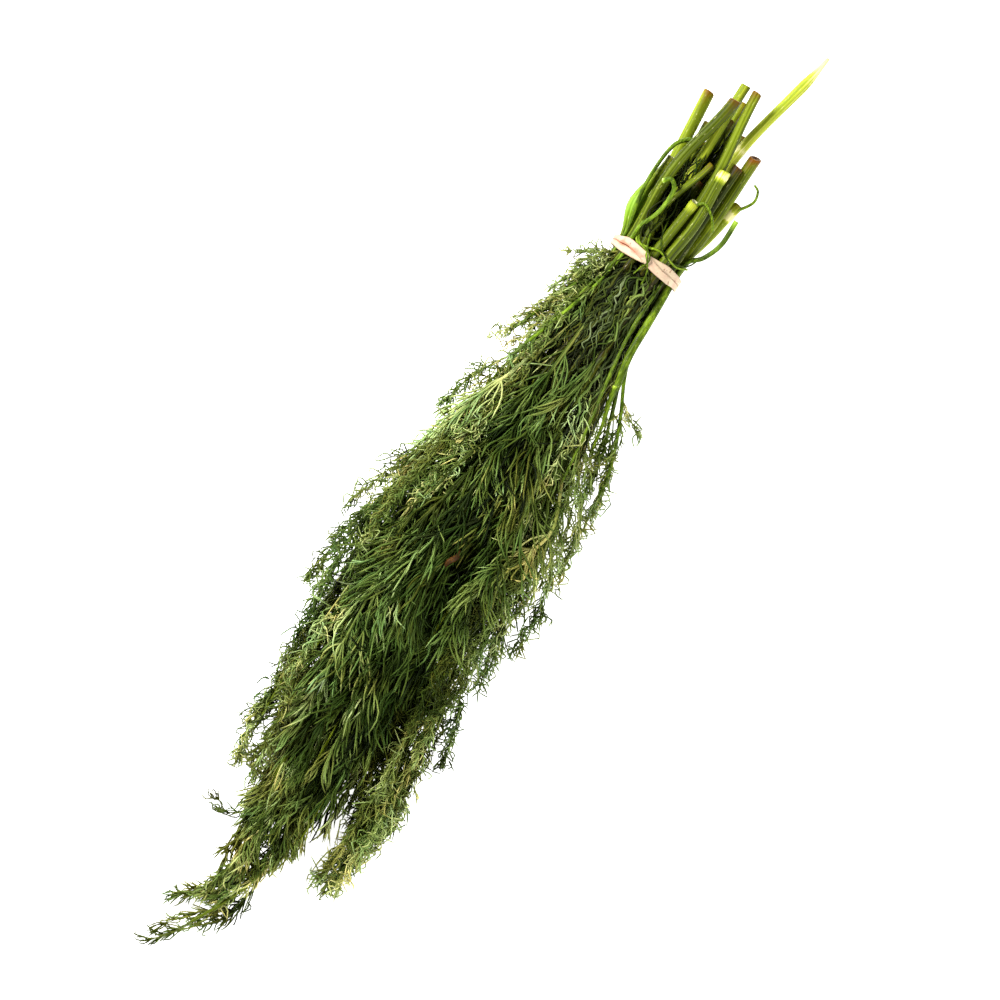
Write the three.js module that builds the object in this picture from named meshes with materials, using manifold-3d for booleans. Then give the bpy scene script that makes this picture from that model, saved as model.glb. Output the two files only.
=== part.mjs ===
// A market bunch of fresh dill, laid on its side and held by a rubber band wound round it twice.
//
// Millimetres, +Z up. The bunch lies on the plane z = 0. +X runs from the band to the cut stem ends and -X to
// the leaf tips. The origin is the middle of the flat spot under the band's turn next to the leaves.
//
// Places in the bunch are given by three numbers. "along" is the distance from the band towards the leaf
// tips, so it is negative on the cut stems. "u" and "v" place a point in the cross-section of the bundle of
// stems: u runs from -1 to 1 across its width, and v from -1 at its underside to 1 at its top. Dill leaves
// divide into threads: here each frond is a slim rib with whorls of forward-leaning needles raised on it.
import * as THREE from "three";
import { mergeVertices } from "three/addons/utils/BufferGeometryUtils.js";
import Module from "manifold-3d";

const wasm = await Module();
wasm.setup();

// ---------------------------------------------------------------- driving dimensions

// The bundle of stems along the bunch: how far from the band, then the bundle's middle across the bunch, its
// half-width, the height of its widest level, its rise above that level and its drop below it.
const BUNDLE = [
  { along: -110, middle: 0, half: 13, waist: 14, rise: 10, drop: 9 },
  { along: 0, middle: 0, half: 11.3, waist: 13.4, rise: 10, drop: 10 },
  { along: 30, middle: -1.5, half: 13.2, waist: 13.6, rise: 11, drop: 9.5 },
  { along: 60, middle: -2.5, half: 17.5, waist: 14.4, rise: 14, drop: 9.4 },
  { along: 100, middle: -1, half: 23, waist: 16, rise: 18, drop: 10 },
  { along: 130, middle: -3.4, half: 24.6, waist: 16.5, rise: 19, drop: 10.4 },
  { along: 170, middle: -2.4, half: 22.6, waist: 15.5, rise: 17, drop: 9.6 },
  { along: 220, middle: 1, half: 23, waist: 13.5, rise: 13, drop: 8.4 },
  { along: 262, middle: 1, half: 20.5, waist: 11, rise: 9, drop: 6.8 },
  { along: 300, middle: -15, half: 14, waist: 8, rise: 6, drop: 5 },
];

// Stems side by side in the band, in five layers from the top: each layer's height and places across.
const LAYERS = {
  top: { height: 22.7, across: [-4.6, 0.7, 5.5] },
  upper: { height: 18.2, across: [-8.8, -4.4, 0, 4.4, 8.8] },
  middle: { height: 13.3, across: [-11, -6.6, -2.2, 2.2, 6.6, 11] },
  lower: { height: 8.4, across: [-8.8, -4.4, 0, 4.4, 8.8] },
  bottom: { height: 3.5, across: [-2.4, 2.4] },
};

// Each stem: its layer and place in the band and its radius there. "cut" is its cut end: along, across and
// height, and bow is how far it bends sideways on the way. "tip" is its leafy tip: along, u and v. fronds is
// how many side fronds it carries, from the place "leafy" along the bunch. Some stems also swell into a
// sheath, thin to a point at the cut end, or carry a thin curl there, given by points on its way.
const STEMS = [
  {
    layer: "top", place: 0, radius: 1.2,
    cut: [-42, 0.8, 22.6], bow: -3,
    tip: [172, -0.42, 1.0], leafy: 4, fronds: 6,
  },
  {
    layer: "top", place: 1, radius: 1.75,
    cut: [-27.5, 3.2, 24.2], bow: 0,
    tip: [186, 0.02, 1.05], leafy: 10, fronds: 6,
    curl: [[-25, 3, 24.4], [-28.6, 6.2, 26], [-26, 11, 26.4], [-21.5, 14.6, 23]],
  },
  {
    layer: "top", place: 2, radius: 1.95,
    cut: [-42.5, 6.4, 24.3], bow: 1.6,
    tip: [164, 0.5, 1.0], leafy: 18, fronds: 5,
  },
  {
    layer: "upper", place: 0, radius: 2.05,
    cut: [-66, -4.6, 25.5], bow: -3.2,
    tip: [186, -0.98, 0.5], leafy: 4, fronds: 6,
  },
  {
    layer: "upper", place: 1, radius: 1.8,
    cut: [-73, -4.3, 20.5], bow: 0.8,
    tip: [234, -0.55, 0.62], leafy: 84, fronds: 4,
  },
  {
    layer: "upper", place: 2, radius: 1.7,
    cut: [-35, 0.6, 17.2], bow: 0,
    tip: [222, -0.1, 0.7], leafy: 90, fronds: 4,
  },
  {
    layer: "upper", place: 3, radius: 1.85,
    cut: [-72.5, 0.6, 24.6], bow: 2,
    tip: [200, 0.5, 0.6], leafy: 84, fronds: 3,
  },
  {
    layer: "upper", place: 4, radius: 1.8,
    cut: [-46.7, 9.4, 20], bow: 0,
    tip: [178, 1.0, 0.5], leafy: 36, fronds: 4,
  },
  {
    layer: "middle", place: 0, radius: 1.85,
    cut: [-37, -12.5, 16.6], bow: -3,
    tip: [222, -1.2, 0.02], leafy: 14, fronds: 6,
    sheath: { along: -15, swell: 1.2, halfLength: 10 },
  },
  {
    layer: "middle", place: 1, radius: 1.7,
    cut: [-48, -6.6, 15.2], bow: 0,
    tip: [277, -0.36, 0.1], leafy: 150, fronds: 3,
  },
  {
    layer: "middle", place: 2, radius: 1.7,
    cut: [-60, -2.4, 14.6], bow: 0,
    tip: [295, 0.12, 0.2], leafy: 170, fronds: 3,
  },
  {
    layer: "middle", place: 3, radius: 1.7,
    cut: [-62, 1.4, 14], bow: 0,
    tip: [246, 0.3, 0.42], leafy: 165, fronds: 2,
  },
  {
    layer: "middle", place: 4, radius: 1.9,
    cut: [-97.5, 15.2, 17], bow: -4,
    tip: [242, 1.1, 0.32], leafy: 130, fronds: 3,
    pointed: { length: 14, share: 0.4 },
  },
  {
    layer: "middle", place: 5, radius: 2.15,
    cut: [-53, 12.9, 17.2], bow: 0.8,
    tip: [226, 1.2, -0.14], leafy: 54, fronds: 5,
  },
  {
    layer: "lower", place: 0, radius: 2.1,
    cut: [-64.5, -14.3, 12], bow: 0,
    tip: [204, -0.96, -0.55], leafy: 24, fronds: 4,
  },
  {
    layer: "lower", place: 1, radius: 1.75,
    cut: [-55, -8.4, 8.8], bow: 0,
    tip: [254, -0.5, -0.5], leafy: 120, fronds: 2,
  },
  {
    layer: "lower", place: 2, radius: 1.75,
    cut: [-68, -1.6, 8.8], bow: 0,
    tip: [232, 0.05, -0.5], leafy: 140, fronds: 1,
  },
  {
    layer: "lower", place: 3, radius: 1.75,
    cut: [-50, 5.4, 7.8], bow: 0,
    tip: [208, 0.4, -0.5], leafy: 120, fronds: 2,
  },
  {
    layer: "lower", place: 4, radius: 1.85,
    cut: [-35.6, 17, 12.3], bow: 1.2,
    tip: [206, 0.86, -0.55], leafy: 44, fronds: 4,
    curl: [[-33.5, 17.2, 13], [-37, 19.8, 14.2], [-40, 21, 15.5], [-43.4, 20, 17], [-44.6, 17.6, 18.6]],
  },
  {
    layer: "bottom", place: 0, radius: 1.8,
    cut: [-45, -6.4, 3.2], bow: 0,
    tip: [192, -0.42, -1.0], leafy: 14, fronds: 5,
  },
  {
    layer: "bottom", place: 1, radius: 1.8,
    cut: [-58, 4.2, 3.0], bow: 0,
    tip: [176, 0.36, -1.0], leafy: 20, fronds: 4,
  },
];

// Loose leaf stalks tied in with the stems, each by points on its way: along, across and height. The last
// part of each, from the place "leafy" along the bunch, is a frond.
const STALKS = [
  {
    name: "arched", radius: 0.9, leafy: 4,
    way: [
      [-46.5, -9, 18.6], [-45, -11.6, 18.8], [-40.5, -14.6, 19.2], [-31, -15.6, 19.4], [-20, -15, 19],
      [-8, -12.2, 17.4], [3, -12, 16.9], [16, -15.6, 17.4], [30, -21, 18.4], [46, -27, 19.4],
    ],
  },
  {
    name: "hooked", radius: 0.9, leafy: 10,
    way: [
      [-27.5, -10.8, 25.2], [-29.5, -8.4, 26.4], [-26.5, -5.6, 26.6], [-18, -5.8, 25.6], [-10, -8.6, 24],
      [-5, -9, 22.1], [3, -8.6, 21.6], [16, -10.4, 23.4], [34, -15.6, 27.4], [54, -22, 31],
    ],
  },
  {
    name: "curved", radius: 1.0, leafy: 42,
    way: [
      [-30, 19.4, 19.5], [-20, 19.4, 19], [-12.5, 16.6, 18], [-7.5, 12.5, 16.8], [3, 12.1, 16.6],
      [20, 12.2, 17.4], [36, 15, 18.4], [52, 22.4, 19], [68, 28, 18.6], [86, 31, 17.6],
    ],
  },
];

// The rubber band: a closed strip wound twice, its turns side by side, that cross once on top.
const BAND = {
  halfAcross: 13.75, // inside half-width of the loop
  halfUp: 12.75, // inside half-height of the loop
  width: 3.2,
  thickness: 1.0,
  pitch: 3.6, // from the middle of one turn to the middle of the next
  pressed: 0.3, // how far its underside is pressed flat
  crossing: 0.62, // half of the crossing, in radians round the loop
  lift: 1.4, // how far the outer turn rises over the inner one where they cross
  steps: 88,
};

// Stems and stalks are tubes of few sides. A stem thins to tipRadius where its leafy tip begins.
const STEM = { sides: 5, tipRadius: 0.56, stepLength: 22 };
const STALK = { sides: 4, endRadius: 0.6, steps: 18 };
const CURL = { sides: 4, root: 0.62, end: 0.42, steps: 9 };

// A rib is a slim three-sided core, and every face of it past the share "bare" of its length may be raised
// to a needle. Needles lean out from the rib by "lean" radians at its root and less towards its tip.
const RIB = { sides: 3, tipRadius: 0.4, tipLean: 0.34, needleTurn: 0.42, jitter: 0.06 };
const TIP_RIB = { length: 52, root: 1.15, steps: 9, bare: 0.05, reach: 15, lean: 0.72 };
const FROND_RIB = { length: 50, root: 0.92, steps: 8, bare: 0.2, reach: 15, lean: 0.72 };
const STALK_RIB = { stepLength: 5, root: 1.15, bare: 0.08, reach: 12, lean: 0.95 };
const SHORTER = [1, 0.7, 0.48]; // the shares of its length that a needle is tried at

const NEEDLE_RADIUS = 0.15; // room kept round each edge of a needle
const GAP = 0.4; // the least gap between pieces
const LOWEST_RIB = 1.4; // how low a frond's rib may run
const SMOOTHED = 0.004; // how far faces may move when the slivers left by joining parts are merged
const MERGED = 0.001; // vertices closer than this are one

// ---------------------------------------------------------------- numbers

// A repeatable draw from 0 to 1 for whole-number keys.
function draw(a, b, c) {
  const x = Math.sin(a * 127.1 + b * 311.7 + c * 74.7) * 43758.5453;
  return x - Math.floor(x);
}

const mix = (a, b, t) => a + (b - a) * t;
const clamp01 = (t) => Math.min(1, Math.max(0, t));

// 0 before 0 and 1 after 1, with an even slope between that starts and ends level.
function ease(t) {
  const c = clamp01(t);
  return c * c * (3 - 2 * c);
}

// The bundle's measure at a place along the bunch: a cubic through the stations, whose slope at each is that
// of the line between its neighbours.
function bundle(measure, along) {
  const last = BUNDLE.length - 1;
  const slope = (i) => {
    const a = BUNDLE[Math.max(0, i - 1)];
    const b = BUNDLE[Math.min(last, i + 1)];
    return (b[measure] - a[measure]) / (b.along - a.along);
  };
  let i = 0;
  while (i < last - 1 && along > BUNDLE[i + 1].along) i++;
  const step = BUNDLE[i + 1].along - BUNDLE[i].along;
  const t = (along - BUNDLE[i].along) / step;
  const t2 = t * t;
  const t3 = t2 * t;
  return (
    (2 * t3 - 3 * t2 + 1) * BUNDLE[i][measure] +
    (t3 - 2 * t2 + t) * step * slope(i) +
    (3 * t2 - 2 * t3) * BUNDLE[i + 1][measure] +
    (t3 - t2) * step * slope(i + 1)
  );
}

// ---------------------------------------------------------------- places in the bunch

const place = (along, across, height) => new THREE.Vector3(-along, -across, height);

// The point at u and v of the bundle's cross-section.
function inBundle(along, u, v) {
  const across = bundle("middle", along) + u * bundle("half", along);
  const height = bundle("waist", along) + v * bundle(v > 0 ? "rise" : "drop", along);
  return place(along, across, height);
}

// A stem's place in the band, as u and v.
function tiePlace(stem) {
  const layer = LAYERS[stem.layer];
  const height = layer.height - bundle("waist", 0);
  return {
    u: layer.across[stem.place] / bundle("half", 0),
    v: height / bundle(height > 0 ? "rise" : "drop", 0),
  };
}

// A stem's u and v at a place past the band: it moves evenly from its place in the band to its tip's.
function stemPlace(stem, along) {
  const tie = tiePlace(stem);
  const t = ease(along / stem.tip[0]);
  return { u: mix(tie.u, stem.tip[1], t), v: mix(tie.v, stem.tip[2], t) };
}

// A stem's middle at a place along the bunch, from its cut end to its tip.
function stemPoint(stem, along) {
  if (along >= 0) {
    const { u, v } = stemPlace(stem, along);
    return inBundle(along, u, v);
  }
  const tie = stemPoint(stem, 0);
  const t = along / stem.cut[0];
  const across = mix(-tie.y, stem.cut[1], t ** 1.2) + stem.bow * Math.sin(Math.PI * t) ** 2;
  return place(along, across, mix(tie.z, stem.cut[2], t ** 1.2));
}

// A curve given by a function from 0 to 1.
class Way extends THREE.Curve {
  constructor(pointAt) {
    super();
    this.pointAt = pointAt;
  }
  getPoint(t) {
    return this.pointAt(t);
  }
}

// ---------------------------------------------------------------- tubes and needles

const UP = new THREE.Vector3(0, 0, 1);

// The curve's direction at t, and two directions square to it: the upper one and the one beside that.
function directions(curve, t) {
  const ahead = curve.getTangent(t);
  const over = UP.clone().addScaledVector(ahead, -UP.dot(ahead)).normalize();
  return { ahead, over, beside: new THREE.Vector3().crossVectors(ahead, over) };
}

// A closed tube through the curve's points at the given stations. It starts flat and ends in a point, or
// flat too where blunt is true. needleTip may give a face the tip of a needle, and the face is raised to it.
function tube({ curve, stations, sides, radius, blunt = false, needleTip = () => null }) {
  const points = [];
  stations.forEach((t) => {
    const centre = curve.getPoint(t);
    const { over, beside } = directions(curve, t);
    for (let k = 0; k < sides; k++) {
      const turn = (2 * Math.PI * k) / sides;
      points.push(
        centre
          .clone()
          .addScaledVector(over, radius(t) * Math.cos(turn))
          .addScaledVector(beside, radius(t) * Math.sin(turn)),
      );
    }
  });
  const at = (i, k) => i * sides + (k % sides);
  const faces = [];
  const raise = (face, tip) => {
    if (!tip) {
      faces.push(face);
      return;
    }
    const top = points.push(tip) - 1;
    face.forEach((corner, n) => faces.push([corner, face[(n + 1) % 3], top]));
  };
  for (let i = 0; i + 1 < stations.length; i++)
    for (let k = 0; k < sides; k++)
      [
        [at(i, k), at(i, k + 1), at(i + 1, k + 1)],
        [at(i, k), at(i + 1, k + 1), at(i + 1, k)],
      ].forEach((face, half) => {
        const base = new THREE.Vector3();
        face.forEach((corner) => base.addScaledVector(points[corner], 1 / 3));
        raise(face, needleTip({ base, corners: face.map((corner) => points[corner]), i, k, half }));
      });
  const last = stations.length - 1;
  for (let k = 1; k + 1 < sides; k++) faces.push([at(0, 0), at(0, k + 1), at(0, k)]);
  if (blunt) {
    for (let k = 1; k + 1 < sides; k++) faces.push([at(last, 0), at(last, k), at(last, k + 1)]);
  } else {
    const end = points.push(curve.getPoint(1)) - 1;
    for (let k = 0; k < sides; k++) faces.push([at(last, k), at(last, k + 1), end]);
  }
  return { points, faces };
}

// Evenly spaced stations from one value to another.
const spaced = (from, to, steps) => Array.from({ length: steps + 1 }, (_, i) => mix(from, to, i / steps));

// ---------------------------------------------------------------- room between pieces

// Every rib and needle already placed, as a straight length with a radius, filed by the cells it lies in.
const CELL = 10;
const filed = new Map();

function cellsOf({ a, b }, reach) {
  const range = (axis) => {
    const low = Math.floor((Math.min(a[axis], b[axis]) - reach) / CELL);
    const high = Math.floor((Math.max(a[axis], b[axis]) + reach) / CELL);
    return Array.from({ length: high - low + 1 }, (_, i) => low + i);
  };
  return range("x").flatMap((x) => range("y").flatMap((y) => range("z").map((z) => `${x},${y},${z}`)));
}

function file(length) {
  cellsOf(length, 0).forEach((cell) => {
    if (!filed.has(cell)) filed.set(cell, []);
    filed.get(cell).push(length);
  });
}

// The shortest distance between two straight lengths.
function apart(p, q) {
  const d1 = p.b.clone().sub(p.a);
  const d2 = q.b.clone().sub(q.a);
  const r = p.a.clone().sub(q.a);
  const a = d1.dot(d1);
  const e = d2.dot(d2);
  const b = d1.dot(d2);
  const c = d1.dot(r);
  const f = d2.dot(r);
  const square = a * e - b * b;
  let s = square > 1e-9 ? clamp01((b * f - c * e) / square) : 0;
  const t = clamp01((b * s + f) / e);
  s = clamp01((b * t - c) / a);
  return p.a.clone().addScaledVector(d1, s).distanceTo(q.a.clone().addScaledVector(d2, t));
}

// True if a length keeps its gap to everything on other stems and to the other ribs of its own.
function clear(length) {
  return cellsOf(length, 3).every((cell) =>
    (filed.get(cell) ?? []).every((other) => {
      if (other.rib === length.rib) return true;
      return apart(length, other) > length.radius + other.radius + GAP;
    }),
  );
}

function fileCurve(curve, stations, radius, rib) {
  for (let i = 0; i + 1 < stations.length; i++)
    file({
      a: curve.getPoint(stations[i]),
      b: curve.getPoint(stations[i + 1]),
      radius: Math.max(radius(stations[i]), radius(stations[i + 1])),
      rib,
    });
}

// ---------------------------------------------------------------- ribs with needles

let ribs = 0;

// True if a frond's curve keeps off the surface below and clear of every stem and rib but its own stem.
function hasRoom(curve, ownStem) {
  const stations = spaced(0, 1, FROND_RIB.steps);
  return stations.slice(1).every((t, i) => {
    const [a, b] = [curve.getPoint(stations[i]), curve.getPoint(t)];
    return b.z >= LOWEST_RIB && clear({ a, b, radius: TIP_RIB.root, rib: ownStem });
  });
}

// A rib along a curve. The curve is filed at once, and its needles are raised later, when every curve of
// the bunch is in place. The last station stops short of the end, where the rib comes to its point.
function rib({ curve, root, steps, bare, reach, lean }) {
  const stations = spaced(0, 1 - 0.4 / steps, steps);
  const radius = (t) => mix(root, RIB.tipRadius, t ** 1.5);
  const number = ribs++;
  fileCurve(curve, stations, radius, number);
  return { curve, stations, radius, bare, reach, lean, number };
}

// The tip of the needle on one face of a rib, at full length or shorter where room is short, or none.
function needleOn(r, { base, corners, i, k, half }) {
  const t = mix(r.stations[i], r.stations[i + 1], 0.5);
  if (t < r.bare) return null;
  const { ahead, over, beside } = directions(r.curve, t);
  const turn = (2 * Math.PI * (k + 0.5)) / RIB.sides + (half ? -RIB.needleTurn : RIB.needleTurn);
  const lean = mix(r.lean, RIB.tipLean, t) + RIB.jitter * (draw(r.number, i, k) - 0.5);
  const out = over.multiplyScalar(Math.cos(turn)).addScaledVector(beside, Math.sin(turn));
  const way = ahead.multiplyScalar(Math.cos(lean)).addScaledVector(out, Math.sin(lean));
  const full = r.reach * mix(0.75, 1.15, draw(r.number, i, 7 + 2 * k + half));
  for (const share of SHORTER) {
    const tip = base.clone().addScaledVector(way, full * share);
    tip.z = Math.max(tip.z, 0);
    const edges = [base, ...corners].map((a) => ({ a, b: tip, radius: NEEDLE_RADIUS, rib: r.number }));
    if (base.z > GAP && edges.every(clear)) {
      edges.forEach(file);
      return tip;
    }
  }
  return null;
}

function ribTube(r) {
  return tube({
    curve: r.curve,
    stations: r.stations,
    sides: RIB.sides,
    radius: r.radius,
    needleTip: (face) => needleOn(r, face),
  });
}

// ---------------------------------------------------------------- solids

function solid({ points, faces }) {
  return new wasm.Manifold(
    new wasm.Mesh({
      numProp: 3,
      vertProperties: new Float32Array(points.flatMap((p) => [p.x, p.y, p.z])),
      triVerts: new Uint32Array(faces.flat()),
    }),
  );
}

// The largest body of a solid: a union may leave a loose scrap, which is dropped.
function mainBody(made) {
  return made.decompose().reduce((a, b) => (b.volume() > a.volume() ? b : a));
}

function geometryOf(made) {
  const mesh = mainBody(made).getMesh();
  const geometry = new THREE.BufferGeometry();
  geometry.setAttribute("position", new THREE.BufferAttribute(mesh.vertProperties, 3));
  geometry.setIndex(new THREE.BufferAttribute(mesh.triVerts, 1));
  return mergeVertices(geometry, MERGED);
}

// ---------------------------------------------------------------- leafy stems

// One way for frond number n of a stem to grow: in a curve away from the stem, outwards and to one side by
// turns. Each attempt turns it further round the stem or spreads it less.
function frondCurve(stem, index, n, attempt) {
  const share = stem.fronds > 1 ? n / (stem.fronds - 1) : 0.5;
  const lastFrom = stem.tip[0] - TIP_RIB.length - 6;
  const from = mix(stem.leafy, lastFrom, share) + 5 * (draw(index, n, 1) - 0.5);
  const length = FROND_RIB.length * mix(0.85, 1.1, draw(index, n, 2));
  const middle = stemPlace(stem, from + length / 2);
  const outward = Math.atan2(middle.v, middle.u);
  const first = (n % 2 ? 1 : -1) * mix(0.45, 0.85, draw(index, n, 3));
  const side = first + Math.ceil(attempt / 2) * (attempt % 2 ? 0.3 : -0.3);
  const spread = mix(0.34, 0.46, draw(index, n, 4)) * (1 - 0.04 * attempt);
  return new Way((t) => {
    const along = from + length * t;
    const { u, v } = stemPlace(stem, along);
    const away = spread * Math.sin((t * Math.PI) / 2);
    return inBundle(along, u + away * Math.cos(outward + side), v + away * Math.sin(outward + side));
  });
}

// The first way for a frond to grow that has room for its rib, or none.
function frondWithRoom(stem, index, n, ownStem) {
  for (let attempt = 0; attempt < 16; attempt++) {
    const curve = frondCurve(stem, index, n, attempt);
    if (hasRoom(curve, ownStem)) return curve;
  }
  return null;
}

// A stem's radius at a place along the bunch: it thins from the band to the tip.
function stemRadius(stem, along) {
  if (along >= 0) return mix(stem.radius, STEM.tipRadius, ease(along / (stem.tip[0] - TIP_RIB.length)));
  const { sheath, pointed } = stem;
  const swell = sheath ? sheath.swell * (1 - ease(Math.abs(along - sheath.along) / sheath.halfLength)) : 0;
  const point = pointed ? mix(pointed.share, 1, ease((along - stem.cut[0]) / pointed.length)) : 1;
  return (stem.radius + swell) * point;
}

// A thin curl at a stem's cut end, sunk in the stem at its start.
function curlParts(stem) {
  const curve = new THREE.CatmullRomCurve3(
    stem.curl.map((p) => place(...p)),
    false,
    "centripetal",
  );
  const radius = (t) => mix(CURL.root, CURL.end, t);
  return { curve, stations: spaced(0, 0.93, CURL.steps), sides: CURL.sides, radius };
}

// A stem's own parts: its bare tube and the leafy rib that carries on from it.
function stemParts(stem, index) {
  const [start, end] = [stem.cut[0], stem.tip[0]];
  const whole = new Way((t) => stemPoint(stem, mix(start, end, t)));
  const ribFrom = end - TIP_RIB.length;
  const tubeTo = ribFrom + 2;
  const share = (along) => (along - start) / (end - start);
  const before = stem.pointed || stem.sheath ? spaced(start, 0, 6) : spaced(start, 0, 3);
  const after = spaced(0, tubeTo, Math.ceil(tubeTo / STEM.stepLength)).slice(1);
  const stations = [...before, ...after].map(share);
  const radius = (t) => stemRadius(stem, mix(start, end, t));
  const bare = { curve: whole, stations, sides: STEM.sides, radius, blunt: true, number: ribs++ };
  fileCurve(whole, stations, radius, bare.number);
  const tip = new Way((t) => stemPoint(stem, mix(ribFrom, end, t)));
  const leafy = [rib({ ...TIP_RIB, curve: tip })];
  const curls = stem.curl ? [curlParts(stem)] : [];
  curls.forEach((curl) => fileCurve(curl.curve, curl.stations, curl.radius, ribs++));
  return { name: `dill_stem_${String(index + 1).padStart(2, "0")}`, bare, curls, leafy };
}

// Adds a stem's side fronds, where there is room for them.
function addFronds({ bare, leafy }, stem, index) {
  for (let n = 0; n < stem.fronds; n++) {
    const curve = frondWithRoom(stem, index, n, bare.number);
    if (curve) leafy.push(rib({ ...FROND_RIB, curve }));
  }
}

// A loose leaf: its bare stalk and the frond at its end.
function stalkParts(stalk) {
  const points = stalk.way.map((p) => place(...p));
  const whole = new THREE.CatmullRomCurve3(points, false, "centripetal");
  const shareAt = (along) => spaced(0, 1, 400).find((t) => -whole.getPoint(t).x >= along);
  const radius = (t) => mix(stalk.radius, STALK.endRadius, t);
  const stations = spaced(0, shareAt(stalk.leafy - 2), STALK.steps);
  fileCurve(whole, stations, radius, ribs++);
  const from = shareAt(stalk.leafy - 4);
  const curve = new Way((t) => whole.getPoint(mix(from, 1, t)));
  const steps = Math.round((stalk.way.at(-1)[0] - stalk.leafy) / STALK_RIB.stepLength);
  return {
    name: `leaf_stalk_${stalk.name}`,
    bare: { curve: whole, stations, sides: STALK.sides, radius, blunt: true },
    leafy: [rib({ ...STALK_RIB, curve, steps })],
  };
}

function leafySolid({ bare, curls = [], leafy }) {
  const parts = [...[bare, ...curls].map(tube), ...leafy.map(ribTube)].map(solid);
  return parts.reduce((made, part) => made.add(part)).simplify(SMOOTHED);
}

// ---------------------------------------------------------------- the rubber band

// The band's section runs twice round an ellipse. Over the first turn it lies next to the leaves and over
// the second next to the cut ends, and it changes over on top, where one turn rises over the other.
function bandSolid() {
  const around = (n) => (4 * Math.PI * n) / BAND.steps;
  const points = [];
  const faces = [];
  for (let n = 0; n < BAND.steps; n++) {
    const turn = around(n); // from the top, round the bunch, twice
    const pass = Math.round(turn / (2 * Math.PI)); // the top is passed at 0, 1 and 2, and 2 is 0 again
    const past = turn - 2 * Math.PI * pass;
    const outer = pass !== 1;
    const over = ease(0.5 + past / (2 * BAND.crossing));
    const middle = BAND.pitch * (outer ? over : 1 - over);
    const raised = outer ? BAND.lift * ease((1.7 - Math.abs(past) / BAND.crossing) / 0.7) : 0;
    const ring = [
      [-1, 0],
      [1, 0],
      [1, 1],
      [-1, 1],
    ];
    ring.forEach(([side, face]) => {
      const out = raised + face * BAND.thickness;
      const y = (BAND.halfAcross + out) * Math.sin(turn);
      const z = (BAND.halfUp + out) * Math.cos(turn) + BAND.halfUp + BAND.thickness - BAND.pressed;
      points.push(new THREE.Vector3(middle + (side * BAND.width) / 2, y, Math.max(z, face ? 0 : 0.6)));
    });
  }
  const corners = 4;
  for (let n = 0; n < BAND.steps; n++)
    for (let k = 0; k < corners; k++) {
      const next = ((n + 1) % BAND.steps) * corners;
      const a = n * corners + k;
      const b = n * corners + ((k + 1) % corners);
      const c = next + ((k + 1) % corners);
      const d = next + k;
      faces.push([a, c, b], [a, d, c]);
    }
  return solid({ points, faces });
}

// ---------------------------------------------------------------- the bunch

const stemGreen = new THREE.MeshStandardMaterial({ color: 0x4f7d1c, roughness: 0.55, metalness: 0 });
const stalkGreen = new THREE.MeshStandardMaterial({ color: 0x5f8f2a, roughness: 0.5, metalness: 0 });
const rubber = new THREE.MeshStandardMaterial({ color: 0xf0c4a4, roughness: 0.6, metalness: 0 });

function mesh(name, made, material) {
  const piece = new THREE.Mesh(geometryOf(made), material);
  piece.name = name;
  return piece;
}

const bunch = new THREE.Group();
const stems = STEMS.map(stemParts);
const stalks = STALKS.map(stalkParts);
stems.forEach((parts, index) => addFronds(parts, STEMS[index], index));
stems.forEach((parts) => bunch.add(mesh(parts.name, leafySolid(parts), stemGreen)));
stalks.forEach((parts) => bunch.add(mesh(parts.name, leafySolid(parts), stalkGreen)));
bunch.add(mesh("rubber_band", bandSolid(), rubber));

export default bunch;
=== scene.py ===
# A market bunch of fresh dill, lying on its side and held by a rubber band wound round it twice.
#
# Metres, +Z up. The bunch lies on the plane z = 0. +X runs from the band to the cut stem ends and -X to
# the leaf tips. "along" is the distance from the band towards the leaf tips, so it is negative on the cut
# stems, "across" runs to -Y, and u and v place a point in the cross-section of the bundle of stems: u from
# -1 to 1 across its width, v from -1 at its underside to 1 at its top.
import bpy
import numpy as np
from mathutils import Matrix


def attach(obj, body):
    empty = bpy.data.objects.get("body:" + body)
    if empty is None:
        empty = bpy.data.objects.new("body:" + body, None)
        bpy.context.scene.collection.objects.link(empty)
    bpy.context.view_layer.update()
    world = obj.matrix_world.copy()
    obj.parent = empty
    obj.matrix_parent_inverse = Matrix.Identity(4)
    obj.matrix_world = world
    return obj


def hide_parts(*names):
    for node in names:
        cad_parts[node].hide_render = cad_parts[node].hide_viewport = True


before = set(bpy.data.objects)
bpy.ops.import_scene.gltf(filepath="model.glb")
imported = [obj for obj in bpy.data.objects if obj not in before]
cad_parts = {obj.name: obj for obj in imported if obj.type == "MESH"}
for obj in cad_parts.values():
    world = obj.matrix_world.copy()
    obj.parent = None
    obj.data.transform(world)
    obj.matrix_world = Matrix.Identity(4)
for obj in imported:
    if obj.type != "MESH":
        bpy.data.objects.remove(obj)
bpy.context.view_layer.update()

# ------------------------------------------------------------------ stems
# A dill stem is a thin hollow stalk, finely grooved along its length, that thins towards its leafy tip. The
# stems of a bunch are pulled whole, cut by hand to uneven lengths, and pressed into each other by the band.

MM = 0.001

# Stations along the bunch, in millimetres: along, middle, half-width, height of the widest level, and how
# far the bundle rises above that level and drops below it.
BUNDLE = MM * np.array(
    [
        [-110, 0, 13, 14, 10, 9],
        [0, 0, 11.3, 13.4, 10, 10],
        [30, -1.5, 13.2, 13.6, 11, 9.5],
        [60, -2.5, 17.5, 14.4, 14, 9.4],
        [100, -1, 23, 16, 18, 10],
        [130, -3.4, 24.6, 16.5, 19, 10.4],
        [170, -2.4, 22.6, 15.5, 17, 9.6],
        [220, 1, 23, 13.5, 13, 8.4],
        [262, 1, 20.5, 11, 9, 6.8],
        [300, -15, 14, 8, 6, 5],
    ]
)

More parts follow.
